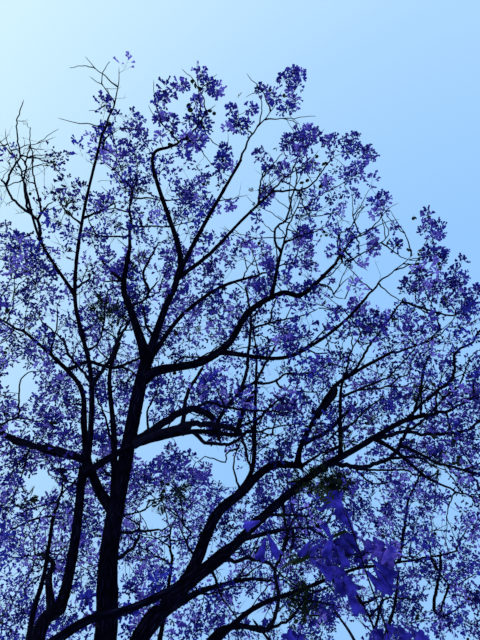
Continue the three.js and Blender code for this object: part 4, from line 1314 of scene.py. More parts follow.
@dataclass
class Carrier:
    """Points that carry small shapes: where each stands, where it aims and its size."""

    places: list[Array] = field(default_factory=list)
    aims: list[Array] = field(default_factory=list)
    sizes: list[Array] = field(default_factory=list)

    def add(self, places: Array, aims: Array, sizes: Array) -> None:
        """Adds points."""
        self.places.append(places.reshape(-1, 3))
        self.aims.append(aims.reshape(-1, 3))
        self.sizes.append(sizes.reshape(-1))

    def object(self, name: str) -> bpy.types.Object:
        """An object with a vertex for each point, with its aim and size as attributes."""
        places = np.concatenate(self.places)
        mesh = bpy.data.meshes.new(name)
        mesh.from_pydata(places.tolist(), [], [])
        aim = mesh.attributes.new("aim", "FLOAT_VECTOR", "POINT")
        aim.data.foreach_set("vector", np.concatenate(self.aims).astype(np.float32).ravel())
        size = mesh.attributes.new("size", "FLOAT", "POINT")
        size.data.foreach_set("value", np.concatenate(self.sizes).astype(np.float32))
        return shown(name, mesh)


@dataclass(frozen=True)
class TwigRule:
    """How a mass's shoots are carried on to finer twigs. Lengths are metres or shares of the reach."""

    bow_share: float = 0.075
    sway_share: float = 0.035
    kink_share: float = 0.012
    kink_waves: Pair = (19.0, 31.0)
    join_gap: float = 0.01
    shoot_rings: int = 13
    shoot_share: float = 0.93
    bare_shoot_share: float = 0.72
    hidden_shoot_share: float = 0.4
    clear_share: float = 0.85
    shoot_sides: int = 5
    stem_sink: float = 0.03
    knots_on_shoot: int = 16
    knot_range: Pair = (0.12, 0.93)
    thinnest: float = 0.0030
    thickening: float = 0.47
    taper: tuple[float, ...] = (1.0, 0.82, 0.66, 0.5)
    least_taper: float = 0.75
    collar: float = 0.35
    collar_reach: float = 0.05
    fan_start: float = 0.03
    fan_spread: float = 0.9
    candidates: int = 3200
    limb_room: float = 0.05
    panicle_end: float = 0.8
    box_margin: float = 0.03
    near_margin: float = 130.0
    axis_lift: Pair = (0.15, 0.8)
    backward_cost: float = 0.5
    twig_bend: float = 0.32
    twig_waver: float = 0.25
    second_panicle: float = 0.25
    second_spread: float = 62.0
    second_lift: float = 0.2
    second_size: float = 0.65
    hair_share: float = 0.8
    hair_spread: Pair = (25.0, 80.0)
    hair_lift: float = 0.2
    hair_length: Pair = (0.07, 0.20)
    hair_rise: float = 0.012
    hair_radius: float = 0.0013
    leaf_share: float = 0.06
    leaves_on_knot: int = 3
    leaf_spread: Pair = (30.0, 80.0)
    leaf_lift: float = 0.1
    leaf_size: Pair = (0.5, 0.9)
    green_share: float = 0.07
    green_on_knot: int = 4
    ripe_share: float = 0.012
    ripe_on_knot: int = 2
    pod_leafiness: float = 1.5
    pod_chance: float = 0.75
    pod_lean: float = 0.4
    pod_waver: float = 0.7
    pod_size: Pair = (0.6, 1.15)
    stray_share: float = 0.8


@dataclass
class SmallThings:
    """Where the young leaves, the green pods and the ripe pods stand."""

    leaves: Carrier = field(default_factory=Carrier)
    green_pods: Carrier = field(default_factory=Carrier)
    ripe_pods: Carrier = field(default_factory=Carrier)


@dataclass
class Twigs:
    """A mass's twigs while they grow: the knots that the next twig can leave from."""

    places: Array
    ways: Array
    owners: Array
    parents: list[int] = field(default_factory=list)
    curves: list[Array] = field(default_factory=list)

    def add(self, curve: Array, parent: int) -> None:
        """Adds a twig along a curve and its knots."""
        number = len(self.curves)
        self.curves.append(curve)
        self.parents.append(parent)
        self.add_knots(curve[1:-1], unit(curve[2:] - curve[:-2]), number)

    def add_knots(self, places: Array, ways: Array, owner: int) -> None:
        """Adds the knots of a twig, or of a shoot, whose owner's number is below 0."""
        self.places = np.vstack([self.places, places])
        self.ways = np.vstack([self.ways, ways])
        self.owners = np.concatenate([self.owners, np.full(len(places), owner)])

    def burdens(self) -> Array:
        """How many tips each twig carries, its own included."""
        burdens = np.ones(len(self.curves))
        for number in range(len(self.curves) - 1, -1, -1):
            if self.parents[number] >= 0:
                burdens[self.parents[number]] += burdens[number]
        return burdens


class FineGrowth:
    """Grows one mass's finer twigs, and notes where its panicles, leaves and pods sit."""

    CURVE_STEPS = np.array([0.0, 0.3, 0.55, 0.8, 1.0])
    SEED = 1000
    TINY = 1e-6

    def __init__(self, crown: Crown, mass: Mass, screen: Screen, rule: TwigRule) -> None:
        """Takes the crown, the mass, what the limbs show, and the rule."""
        self.crown, self.mass, self.screen, self.rule = crown, mass, screen, rule
        self.sight = screen.sight
        self.look = MASS_LOOKS[mass.bough]
        self.rng = Rng(self.SEED + mass.seed)
        self.homes: list[int] = []
        self.roots: list[Array] = []
        self.bows: list[Array] = []

    def shoot_line(self, number: int, shares: Array) -> Array:
        """Points along a shoot, which bows and sways a little to its sides."""
        rule, shoot, bow = self.rule, self.mass.shoots[number], self.bows[number]
        across, fade = np.cross(shoot.along, bow), 1 - shares
        kink, side_kink = (rule.kink_share * np.sin(shares * wave) * fade for wave in rule.kink_waves)
        main = np.sin(np.pi * shares) * rule.bow_share + kink
        aside = np.sin(2 * np.pi * shares) * rule.sway_share + side_kink
        drift = np.outer(main, bow) + np.outer(aside, across)
        root = self.roots[number]
        return root + np.outer(shares, shoot.tip - root) + drift * shoot.length

    def joined_root(self, number: int) -> Array:
        """Where a shoot leaves the bowed line of the shoot that carries it."""
        root = self.mass.shoots[number].root
        best, spot = self.rule.join_gap, root
        for other in range(number):
            carrier = self.mass.shoots[other]
            share = float((root - carrier.root) @ carrier.along) / carrier.length
            off = float(np.linalg.norm(carrier.root + (carrier.tip - carrier.root) * share - root))
            if 0.0 < share < 1.0 and off < best:
                best, spot = off, self.shoot_line(other, np.array([share]))[0]
        return spot

    def grow(self, twigs: MeshStore, things: SmallThings) -> list[Panicles]:
        """Grows the mass.

        Args:
            twigs: takes the twigs' tubes.
            things: takes the points of the leaves and pods.

        Returns:
            The panicles that the mass carries.
        """
        growing = Twigs(np.empty((0, 3)), np.empty((0, 3)), np.empty(0, int))
        tints = self.grow_shoots(twigs, growing)
        tips = np.vstack([self.fan_tips(), self.even_tips()])
        lengths = self.rng.uniform(*self.look.panicle.value.length, len(tips))
        away = unit(tips - self.mass.tip)
        axes = unit(away + UP * self.rng.uniform(*self.rule.axis_lift, len(tips))[:, None])
        kept = self.open_to(tips, axes, lengths)
        tips, axes, lengths = tips[kept], axes[kept], lengths[kept]
        nearest = np.linalg.norm(tips[:, None] - growing.places[None], axis=2).min(axis=1)
        order = np.argsort(nearest)
        tips, axes, lengths = tips[order], axes[order], lengths[order]
        own = np.array([self.reach(growing, tip, axis) for tip, axis in zip(tips, axes, strict=True)])
        self.store_twigs(growing, twigs)
        return self.carry(growing, axes, lengths, tints[own], twigs, things)

    def grow_shoots(self, twigs: MeshStore, growing: Twigs) -> Array:
        """Grows the shoots that the solids have, with knots along them, and gives each shoot's tint."""
        rule, mass, slim = self.rule, self.mass, self.look.twig_girth
        knot_shares = np.linspace(*rule.knot_range, rule.knots_on_shoot)
        for number, shoot in enumerate(mass.shoots):
            turn = np.array(360 * self.rng.rand())
            self.bows.append(leaning(shoot.along, turn, np.array(90.0), np.array(0.0)))
            self.roots.append(self.joined_root(number))
            hidden = self.look.near and number > 0 and bool(self.sight.framed(shoot.tip[None])[0])
            if hidden and self.sight.framed(shoot.root[None])[0]:
                continue
            short = not self.sight.allows(shoot.tip[None])[0]
            reach = rule.bare_shoot_share if short else rule.shoot_share
            if hidden:
                reach = rule.hidden_shoot_share
            if self.look.near and number == 0:
                reach = 1.0
            shares = np.linspace(0.0, reach, rule.shoot_rings + 1)
            line = self.shoot_line(number, shares)
            foot = (mass.girth if number == 0 else shoot.girth) / 2 * slim
            even = 1 - shares[:-1] / shares[-1]
            radii = rule.thinnest * slim + (foot - rule.thinnest * slim) * even
            if number:
                along = shares[:-1] * shoot.length
                radii = radii * (1 + rule.collar * np.exp(-along / rule.collar_reach))
            line[0] -= shoot.along * (0.0 if number else rule.stem_sink)
            twigs.add_tubes(line[None], radii[None], rule.shoot_sides)
            knots = self.shoot_line(number, knot_shares)
            growing.add_knots(knots, unit(np.gradient(knots, axis=0)), -1 - number)
        weights = np.array(list(TINT_WEIGHTS.values()))
        return self.rng.choice(len(weights), len(mass.shoots), p=weights)

    def fan_tips(self) -> Array:
        """Tips round the end of each shoot, where the solids have their sprays."""
        count, reach = self.look.fan, self.mass.bloom
        tips = [np.empty((0, 3))]
        for shoot in self.mass.shoots:
            back = self.rng.uniform(self.rule.fan_start, SPRAY_SHARE, count) * reach
            wide = SPRAY_WIDTH_SHARE * reach * self.rule.fan_spread * np.sqrt(self.rng.rand(count))
            turns = GOLDEN_ANGLE * np.arange(count) + 360 * self.rng.rand()
            axes = np.repeat(shoot.along[None], count, 0)
            sides = leaning(axes, turns, np.full(count, 90.0), np.zeros(count))
            tips.append(shoot.tip - np.outer(back, shoot.along) + sides * wide[:, None])
        return np.vstack(tips)

    def even_tips(self) -> Array:
        """Tips spread evenly over the rest of the mass's space."""
        mass, chosen = self.mass, [shoot.tip for shoot in self.mass.shoots]
        spots = mass.centre + self.rng.uniform(-mass.bloom, mass.bloom, (self.rule.candidates, 3))
        spots = spots[self.crown.inside(spots, mass)]
        spots = spots[self.crown.skeleton.clearances(spots) > self.rule.limb_room]
        taken = np.empty((len(chosen) + len(spots), 3))
        taken[: len(chosen)], count = chosen, len(chosen)
        for spot in spots:
            if np.min(np.linalg.norm(taken[:count] - spot, axis=1)) > self.look.spacing:
                taken[count] = spot
                count += 1
        return taken[len(chosen) : count]

    def open_to(self, tips: Array, axes: Array, lengths: Array) -> Array:
        """True for each tip whose panicle stays in the mass, in the tree's box and out of the openings."""
        rule = self.rule
        ends = tips + axes * lengths[:, None] * rule.panicle_end
        middles = tips + axes * lengths[:, None] * 0.5
        kept = self.crown.inside(ends, self.mass) & self.sight.allows(ends) & self.sight.allows(tips)
        kept &= ~self.screen.covered(middles) | (self.rng.rand(len(tips)) > rule.clear_share)
        if self.look.near:
            kept &= ~self.sight.framed(ends, rule.near_margin)
        return kept & boxed(ends, rule.box_margin)

    def reach(self, growing: Twigs, tip: Array, axis: Array) -> int:
        """Grows a twig to a tip from the knot that suits it best, and gives the shoot it belongs to."""
        rule, gaps = self.rule, tip - growing.places
        far = np.linalg.norm(gaps, axis=1)
        forward = np.sum(gaps * growing.ways, axis=1) / np.maximum(far, self.TINY)
        best = int(np.argmin(far * (1 + rule.backward_cost * (1 - forward))))
        start, way, length = growing.places[best], growing.ways[best], far[best] * rule.twig_bend
        out = start + unit(way + self.rng.normal(0, rule.twig_waver, 3)) * length
        back = tip - unit(axis + self.rng.normal(0, rule.twig_waver, 3)) * length
        t = self.CURVE_STEPS[:, None]
        curve = start * (1 - t) ** 3 + out * 3 * t * (1 - t) ** 2 + back * 3 * t**2 * (1 - t) + tip * t**3
        owner = int(growing.owners[best])
        growing.add(curve, owner)
        self.homes.append(-1 - owner if owner < 0 else self.homes[owner])
        return self.homes[-1]

    def store_twigs(self, growing: Twigs, twigs: MeshStore) -> None:
        """Makes the twigs' tubes, thicker the more tips they carry."""
        rule = self.rule
        thinnest = rule.thinnest * self.look.twig_girth
        roots = thinnest * growing.burdens() ** rule.thickening
        taper = np.array(rule.taper)
        radii = np.maximum(roots[:, None] * taper[None], thinnest * rule.least_taper)
        curves = np.array(growing.curves)
        if len(curves):
            twigs.add_tubes(curves, radii, FINE_SIDES)

    def carry(
        self, growing: Twigs, axes: Array, lengths: Array, tints: Array,
        twigs: MeshStore, things: SmallThings,
    ) -> list[Panicles]:
        """Puts panicles, bare stalks, young leaves and pods on the twigs, and gives the panicles."""
        rule, rng, look = self.rule, self.rng, self.look
        curves, total = np.array(growing.curves), len(growing.curves)
        stray = rng.rand(total) < rule.stray_share
        tints = np.where(stray, rng.randint(0, len(TINT_WEIGHTS), total), tints)
        blooming = rng.rand(total) < look.bloom_share
        ends, middle = curves[:, -1], curves[:, 2]
        second = blooming & (rng.rand(total) < rule.second_panicle)
        aside = self.leaned(axes, (rule.second_spread,), rule.second_lift)
        grown = [
            Panicles(look.panicle.value, ends[blooming], axes[blooming], lengths[blooming],
                     tints[blooming], look.flower_size),
            Panicles(Panicle.SMALL.value, middle[second], aside[second],
                     lengths[second] * rule.second_size, tints[second], look.flower_size)]
        haired, knots = rng.rand(total) < rule.hair_share, curves[:, 3]
        lean = self.leaned(axes, rule.hair_spread, rule.hair_lift)
        tips = knots + lean * rng.uniform(*rule.hair_length, total)[:, None]
        hairs = np.stack([knots, (knots + tips) / 2 + UP * rule.hair_rise, tips], axis=1)[haired]
        if len(hairs):
            twigs.add_tubes(hairs, np.full((len(hairs), 2), rule.hair_radius), FINE_SIDES)
        leafy = rng.rand(total) < rule.leaf_share * look.leafiness
        for _ in range(rule.leaves_on_knot):
            lean = self.leaned(axes, rule.leaf_spread, rule.leaf_lift)
            things.leaves.add(knots[leafy], lean[leafy], rng.uniform(*rule.leaf_size, int(leafy.sum())))
        for share, most, pods in (
            (rule.green_share, rule.green_on_knot, things.green_pods),
            (rule.ripe_share, rule.ripe_on_knot, things.ripe_pods),
        ):
            podded = rng.rand(total) < share * min(look.leafiness, rule.pod_leafiness)
            for _ in range(most):
                some = podded & (rng.rand(total) < rule.pod_chance)
                lean = unit(axes * rule.pod_lean + rng.normal(0, rule.pod_waver, (total, 3)))
                pods.add(knots[some], lean[some], rng.uniform(*rule.pod_size, int(some.sum())))
        return grown

    def leaned(self, axes: Array, spread: tuple[float, ...], lift: float) -> Array:
        """Directions that lean from axes by one spread or by any between two, in any turn."""
        total = len(axes)
        turns = self.rng.uniform(0, 360, total)
        spreads = self.rng.uniform(*spread, total) if len(spread) > 1 else np.full(total, spread[0])
        return leaning(axes, turns, spreads, np.full(total, lift))


@dataclass(frozen=True)
class PanicleRule:
    """How a panicle branches: side stalks turn round its axis, and each carries a few flowers."""

    widest: float = 95.0
    narrowest: float = 26.0
    longest_share: float = 0.5
    shortest_share: float = 0.3
    axis_share: float = 0.66
    stalk_radius: float = 0.0012
    axis_radius: float = 0.0021
    stalk_range: Pair = (0.08, 0.95)
    turn_waver: float = 20.0
    spread_waver: float = 12.0
    stalk_lift: Pair = (-0.1, 0.2)
    stalk_size: Pair = (0.7, 1.3)
    first_flower: float = 0.55
    end_flower: float = 0.99
    flower_spread: float = 0.38
    top_spread: float = 0.5
    flower_size: Pair = (0.8, 1.2)
    missing_share: float = 0.06
    seed: int = 77

    def build(self, panicles: list[Panicles], stems: MeshStore) -> dict[Tint, Carrier]:
        """Branches all panicles.

        Args:
            panicles: the panicles, in batches of one kind.
            stems: takes the stalks' tubes.

        Returns:
            The flowers' points for each tint.
        """
        rng = Rng(self.seed)
        carriers = {tint: Carrier() for tint in TINT_WEIGHTS}
        for batch in panicles:
            if len(batch.feet):
                self.branch(batch, stems, carriers, rng)
        return carriers

    def branch(
        self, batch: Panicles, stems: MeshStore, carriers: dict[Tint, Carrier], rng: Rng,
    ) -> None:
        """Branches the panicles of one batch and deals their flowers out to the tints."""
        kind, feet, axes, lengths = batch.kind, batch.feet, batch.axes, batch.lengths
        count = len(feet)
        tops = feet + axes * (lengths * self.axis_share)[:, None]
        stems.add_tubes(np.stack([feet, tops], axis=1), np.full((count, 1), self.axis_radius), FINE_SIDES)
        heights = np.linspace(*self.stalk_range, kind.stalks)[None].repeat(count, 0)
        turns = GOLDEN_ANGLE * np.arange(kind.stalks)[None] + rng.uniform(0, 360, (count, 1))
        turns = turns + rng.uniform(-self.turn_waver, self.turn_waver, turns.shape)
        spreads = self.widest + (self.narrowest - self.widest) * heights
        spreads += rng.uniform(-self.spread_waver, self.spread_waver, heights.shape)
        wide_axes = np.repeat(axes[:, None], kind.stalks, axis=1)
        lean = leaning(wide_axes, turns, spreads, rng.uniform(*self.stalk_lift, heights.shape))
        share = self.longest_share + (self.shortest_share - self.longest_share) * heights
        sizes = lengths[:, None] * share * rng.uniform(*self.stalk_size, heights.shape)
        knots = feet[:, None] + wide_axes * (heights * lengths[:, None] * self.axis_share)[..., None]
        ends = knots + lean * sizes[..., None]
        lines = np.stack([knots.reshape(-1, 3), ends.reshape(-1, 3)], axis=1)
        stems.add_tubes(lines, np.full((len(lines), 1), self.stalk_radius), FINE_SIDES)
        spots = rng.uniform(self.first_flower, 1.0, (count, kind.stalks, kind.flowers, 1))
        spots[:, :, 0] = self.end_flower
        places = knots[:, :, None] + (ends - knots)[:, :, None] * spots
        aims = unit(lean[:, :, None] + rng.normal(0, self.flower_spread, places.shape))
        top_places = np.repeat(tops[:, None], kind.top_flowers, axis=1)
        top_aims = unit(axes[:, None] + rng.normal(0, self.top_spread, top_places.shape))
        grown = rng.uniform(*self.flower_size, places.shape[:3]) * batch.flower_size
        top_grown = rng.uniform(*self.flower_size, top_places.shape[:2]) * batch.flower_size
        there = rng.rand(*places.shape[:3]) > self.missing_share
        for index, carrier in enumerate(carriers.values()):
            own = batch.tints == index
            carrier.add(places[own][there[own]], aims[own][there[own]], grown[own][there[own]])
            carrier.add(top_places[own], top_aims[own], top_grown[own])


@dataclass(frozen=True)
class SideBranches:
    """The branches that show between the limbs. Each starts on the limb nearest to its foot and
    climbs away from the eye."""

    spacing: float = 0.05
    climb: float = 0.3
    crook: float = 0.005
    collar: float = 0.35
    collar_reach: float = 0.06
    fewest_rings: int = 5
    sides: int = 7
    clear_pixels: float = 3.0
    seed: int = 31

    def build(self, screen: Screen, store: MeshStore) -> list[Path]:
        """Adds the branches' tubes to a store, and gives their lines."""
        rng, sight, paths = Rng(self.seed), screen.sight, []
        for foot, tip, *places in SIDE_BRANCHES:
            spots = np.array(places, float).reshape(-1, 2)
            start, depth = screen.nearest(*spots[0])
            run = np.concatenate([[0.0], np.cumsum(np.linalg.norm(np.diff(spots, axis=0), axis=1))])
            depths = depth * (1 + self.climb * run / sight.focal)
            joints = [sight.spot(x, y, far) for (x, y), far in zip(spots, depths, strict=True)]
            path = Path(np.array([start, *joints[1:]]))
            rings = max(self.fewest_rings, int(path.length / self.spacing))
            shares = np.linspace(0.0, 1.0, rings + 1)
            centres = path.points(shares)
            centres[1:-1] += rng.normal(0, self.crook, (rings - 1, 3))
            radii = (foot + (tip - foot) * shares) / 2 * depth / sight.focal
            radii *= 1 + self.collar * np.exp(-shares * path.length / self.collar_reach)
            store.add_tubes(centres[None], radii[None, :-1], self.sides)
            screen.add(centres, radii, self.clear_pixels)
            paths.append(path)
        return paths


@dataclass(frozen=True)
class SprayRule:
    """Sprays that show one by one. A twig climbs to each from the limb, the side branch or the other
    spray's twig nearest to it."""

    behind: Pair = (0.02, 0.45)
    low_row: float = 340.0
    low_behind: Pair = (0.35, 1.0)
    pull: float = 0.1
    low_flower_size: float = 0.9
    length_share: float = 1.85
    pair_from: float = 4.5
    large_from: float = 6.5
    second_length: float = 0.9
    turn: float = 30.0
    foot: float = 0.0058
    tip: float = 0.0022
    bend: float = 0.1
    rings: int = 8
    sides: int = 4
    lift: float = 0.7
    sink: float = 0.5
    margin: float = 0.12
    flower_size: float = 1.12
    seed: int = 61

    def grow(self, screen: Screen, store: MeshStore) -> list[Panicles]:
        """Adds the sprays' twigs to a store, and gives the panicles that they end in."""
        rng, sight, grown = Rng(self.seed), screen.sight, []
        steps = np.linspace(0.0, 1.0, self.rings + 1)[:, None]
        girths = np.linspace(self.foot, self.tip, self.rings)
        limbs = screen.marks[:, :3]
        gaps = [np.hypot(limbs[:, 0] - x, limbs[:, 1] - y) for x, y, _ in SPRAYS]
        for number in np.argsort([gap.min() for gap in gaps], kind="stable"):
            x, y, radius = SPRAYS[number]
            low = y > self.low_row
            depth = limbs[gaps[number].argmin(), 2]
            behind = rng.uniform(*(self.low_behind if low else self.behind))
            start, _ = screen.nearest(x, y)
            while behind > 0 and not boxed(sight.spot(x, y, depth + behind), self.margin):
                behind -= self.pull
            depth += behind
            centre = sight.spot(x, y, depth)
            if not boxed(centre, self.margin):
                continue
            length = self.length_share * radius * depth / sight.focal
            axis = unit(unit(centre - start) + UP * self.lift)
            foot = centre - axis * length * self.sink
            out = (start + foot) / 2 + rng.normal(0, self.bend, 3) * float(np.linalg.norm(foot - start))
            curve = bent(start, out, foot, steps)
            store.add_tubes(curve[None], girths[None], self.sides)
            screen.add(curve[2:], np.zeros(self.rings - 1), 0.0)
            # Two tints, leaving out the last one, SHADE's painted shade
            tints = rng.permutation(len(TINT_WEIGHTS) - 1)[:2]
            second = leaning(axis, rng.uniform(0, 360, ()), np.array(self.turn), np.array(0.0))
            count = 2 if radius > self.pair_from else 1
            kind = Panicle.LARGE if radius >= self.large_from and not low else Panicle.USUAL
            lengths = length * np.array([1.0, self.second_length])
            grown.append(Panicles(
                kind.value, np.stack([foot] * count), np.stack([axis, second])[:count],
                lengths[:count], tints[:count], self.low_flower_size if low else self.flower_size))
        return grown


@dataclass(frozen=True)
class SpurRule:
    """Short side twigs that the limbs and side branches carry between the masses."""

    spacing: float = 0.22
    first: float = 0.3
    last: float = 0.98
    place_waver: float = 0.02
    turn_waver: float = 60.0
    length: Pair = (0.16, 0.55)
    spread: Pair = (35.0, 80.0)
    lift: Pair = (0.0, 0.5)
    tip_lift: Pair = (0.1, 0.7)
    tip_waver: float = 0.25
    crook: float = 0.006
    foot: Pair = (0.006, 0.011)
    foot_share: float = 0.45
    taper: float = 0.4
    rings: int = 6
    sides: int = 5
    forks: int = 3
    fork_spread: Pair = (30.0, 65.0)
    fork_lift: float = 0.25
    fork_length: Pair = (0.3, 0.55)
    fork_rise: float = 0.012
    fork_radius: float = 0.0026
    end_lift: float = 0.3
    limb_room: float = 0.03
    box_margin: float = 0.3
    bloom_reach: float = 0.08
    bloom_share: float = 0.15
    dense_share: float = 0.9
    seed: int = 404

    def grow(
        self, paths: list[Path], skeleton: Skeleton, screen: Screen, store: MeshStore,
    ) -> list[Panicles]:
        """Grows the spurs of all limbs.

        Args:
            paths: the limbs' and side branches' lines.
            skeleton: the limbs, which the spurs keep clear of.
            screen: what the limbs show.
            store: takes the spurs' tubes.

        Returns:
            The panicles that the spurs and their forks end in.
        """
        rng, feet, ways = Rng(self.seed), [], []
        for path in paths:
            count = max(2, int(path.length * (self.last - self.first) / self.spacing))
            shares = np.linspace(self.first, self.last, count)
            shares += rng.uniform(-self.place_waver, self.place_waver, count)
            feet.append(path.points(shares))
            ways.append(path.tangents(shares))
        feet, ways = np.concatenate(feet), np.concatenate(ways)
        count = len(feet)
        turns = GOLDEN_ANGLE * np.arange(count) + rng.uniform(0, self.turn_waver, count)
        along = leaning(ways, turns, rng.uniform(*self.spread, count), rng.uniform(*self.lift, count))
        lengths = rng.uniform(*self.length, count)
        kept = self.free(feet + along * lengths[:, None], skeleton, screen.sight)
        feet, along, lengths = feet[kept], along[kept], lengths[kept]
        count = len(feet)
        lifted = along + UP * rng.uniform(*self.tip_lift, count)[:, None]
        lifted = unit(lifted + rng.normal(0, self.tip_waver, (count, 3)))
        steps = np.linspace(0.0, 1.0, self.rings + 1)[None, :, None]
        out = feet + along * (lengths * 0.5)[:, None]
        tips = feet + unit(along + lifted) * lengths[:, None]
        curves = bent(feet[:, None], out[:, None], tips[:, None], steps)
        curves[:, 1:-1] += rng.normal(0, self.crook, curves[:, 1:-1].shape)
        roots = rng.uniform(*self.foot, count)[:, None] * (self.foot_share + lengths[:, None])
        store.add_tubes(curves, roots * np.linspace(1.0, self.taper, self.rings)[None], self.sides)
        ends, axes = [tips], [lifted]
        for number in range(self.forks):
            start = curves[:, 2 + number]
            turns, spreads = rng.uniform(0, 360, count), rng.uniform(*self.fork_spread, count)
            lean = leaning(along, turns, spreads, np.full(count, self.fork_lift))
            end = start + lean * (lengths * rng.uniform(*self.fork_length, count))[:, None]
            forks = np.stack([start, (start + end) / 2 + UP * self.fork_rise, end], axis=1)
            store.add_tubes(forks, np.full((count, 2), self.fork_radius), FINE_SIDES)
            ends.append(end)
            axes.append(unit(lean + UP * self.end_lift))
        return self.bloom(np.vstack(ends), np.vstack(axes), skeleton, screen, rng)

    def free(self, points: Array, skeleton: Skeleton, sight: Sight) -> Array:
        """True for each point that is open to the sky, clear of the limbs and well inside the box."""
        kept = sight.allows(points) & (skeleton.clearances(points) > self.limb_room)
        return kept & boxed(points, self.box_margin)

    def bloom(
        self, ends: Array, axes: Array, skeleton: Skeleton, screen: Screen, rng: Rng,
    ) -> list[Panicles]:
        """The panicles at some of the ends that cover no limb."""
        kept = self.free(ends, skeleton, screen.sight) & ~screen.covered(ends + axes * self.bloom_reach)
        dense, grown = screen.sight.within(ends, DENSE_PLACES), []
        for own, share, kind in (
            (~dense, self.bloom_share, Panicle.SMALL.value),
            (dense, self.dense_share, Panicle.USUAL.value),
        ):
            bloom = kept & own & (rng.rand(len(ends)) < share)
            count = int(bloom.sum())
            lengths, tints = rng.uniform(*kind.length, count), rng.randint(0, len(TINT_WEIGHTS), count)
            grown.append(Panicles(kind, ends[bloom], axes[bloom], lengths, tints, 1.0))
        return grown


@dataclass(frozen=True)
class NearFlower:
    """One flower of the low bough's panicle: where its foot and mouth show in the image, in pixels,
    how far its lobes are open, its size, and whether it is one of the pale ones."""

    foot: Pair
    mouth: Pair
    openness: float = 0.8
    size: float = 1.0
    pale: bool = False


NEAR_FLOWERS = (
    NearFlower((346, 510), (328, 500), 1.0, 1.15), NearFlower((344, 513), (337, 499), 0.9),
    NearFlower((353, 531), (339, 512), 0.7, 1.15), NearFlower((354, 533), (346, 517), 0.9, 1.1),
    NearFlower((332, 541), (326, 527), 0.35, 0.8), NearFlower((333, 534), (324, 557), 0.5),
    NearFlower((356, 556), (341, 542), 1.0, 1.1), NearFlower((360, 556), (352, 539), 1.0, 1.1),
    NearFlower((352, 557), (345, 551), 0.9), NearFlower((362, 562), (371, 545), 1.0, 1.0, True),
    NearFlower((370, 560), (382, 544), 1.0, 1.05, True),
    NearFlower((380, 566), (394, 545), 0.9, 1.1, True),
    NearFlower((368, 552), (385, 553), 0.8, 1.05, True),
    NearFlower((374, 552), (393, 559), 0.9, 1.1, True), NearFlower((372, 560), (395, 578), 0.7, 1.15),
    NearFlower((377, 563), (390, 571), 0.8, 1.1, True), NearFlower((374, 567), (391, 593), 0.6, 1.2),
    NearFlower((366, 571), (382, 588), 0.5, 1.0), NearFlower((310, 541), (300, 558), 0.5, 0.9),
    NearFlower((318, 544), (308, 557), 0.5, 0.9), NearFlower((337, 546), (347, 568), 0.6),
    NearFlower((343, 548), (340, 566), 0.6), NearFlower((312, 560), (335, 577), 0.8, 1.1),
    NearFlower((321, 566), (346, 575), 0.8, 1.1), NearFlower((326, 556), (330, 571), 0.7),
    NearFlower((340, 570), (358, 595), 0.6, 1.1), NearFlower((335, 572), (341, 592), 0.6, 1.0),
    NearFlower((346, 586), (358, 615), 0.4, 1.2), NearFlower((266, 538), (259, 561), 0.55),
    NearFlower((268, 534), (277, 556), 0.55), NearFlower((260, 521), (244, 528), 0.5, 0.9),
    NearFlower((366, 549), (357, 562), 0.9, 0.9), NearFlower((350, 545), (333, 549), 0.6, 0.9),
    NearFlower((300, 652), (290, 636), 0.9), NearFlower((292, 655), (298, 640), 0.9),
    NearFlower((384, 648), (389, 629), 0.9), NearFlower((396, 650), (404, 634), 1.0),
    NearFlower((412, 650), (420, 636), 0.9), NearFlower((378, 652), (381, 638), 0.9),
    NearFlower((352, 574), (343, 586), 0.5, 0.8))

# The panicle's stalks: image places in pixels and depths in metres, the main one first
NEAR_STALKS = (
    ((395, 655, 0.975), (384, 622, 0.965), (368, 578, 0.955), (360, 553, 0.95), (352, 530, 0.95),
     (344, 507, 0.95)),
    ((360, 554, 0.95), (332, 557, 0.955), (300, 556, 0.96), (280, 545, 0.965), (264, 527, 0.97)),
    ((366, 574, 0.955), (352, 575, 0.955), (338, 572, 0.96), (322, 570, 0.96)))

# The panicle's leaves: the foot and the tip of each, as image places in pixels
NEAR_LEAVES = ((314, 552, 294, 560), (336, 505, 318, 488), (352, 530, 330, 540), (300, 556, 286, 566))


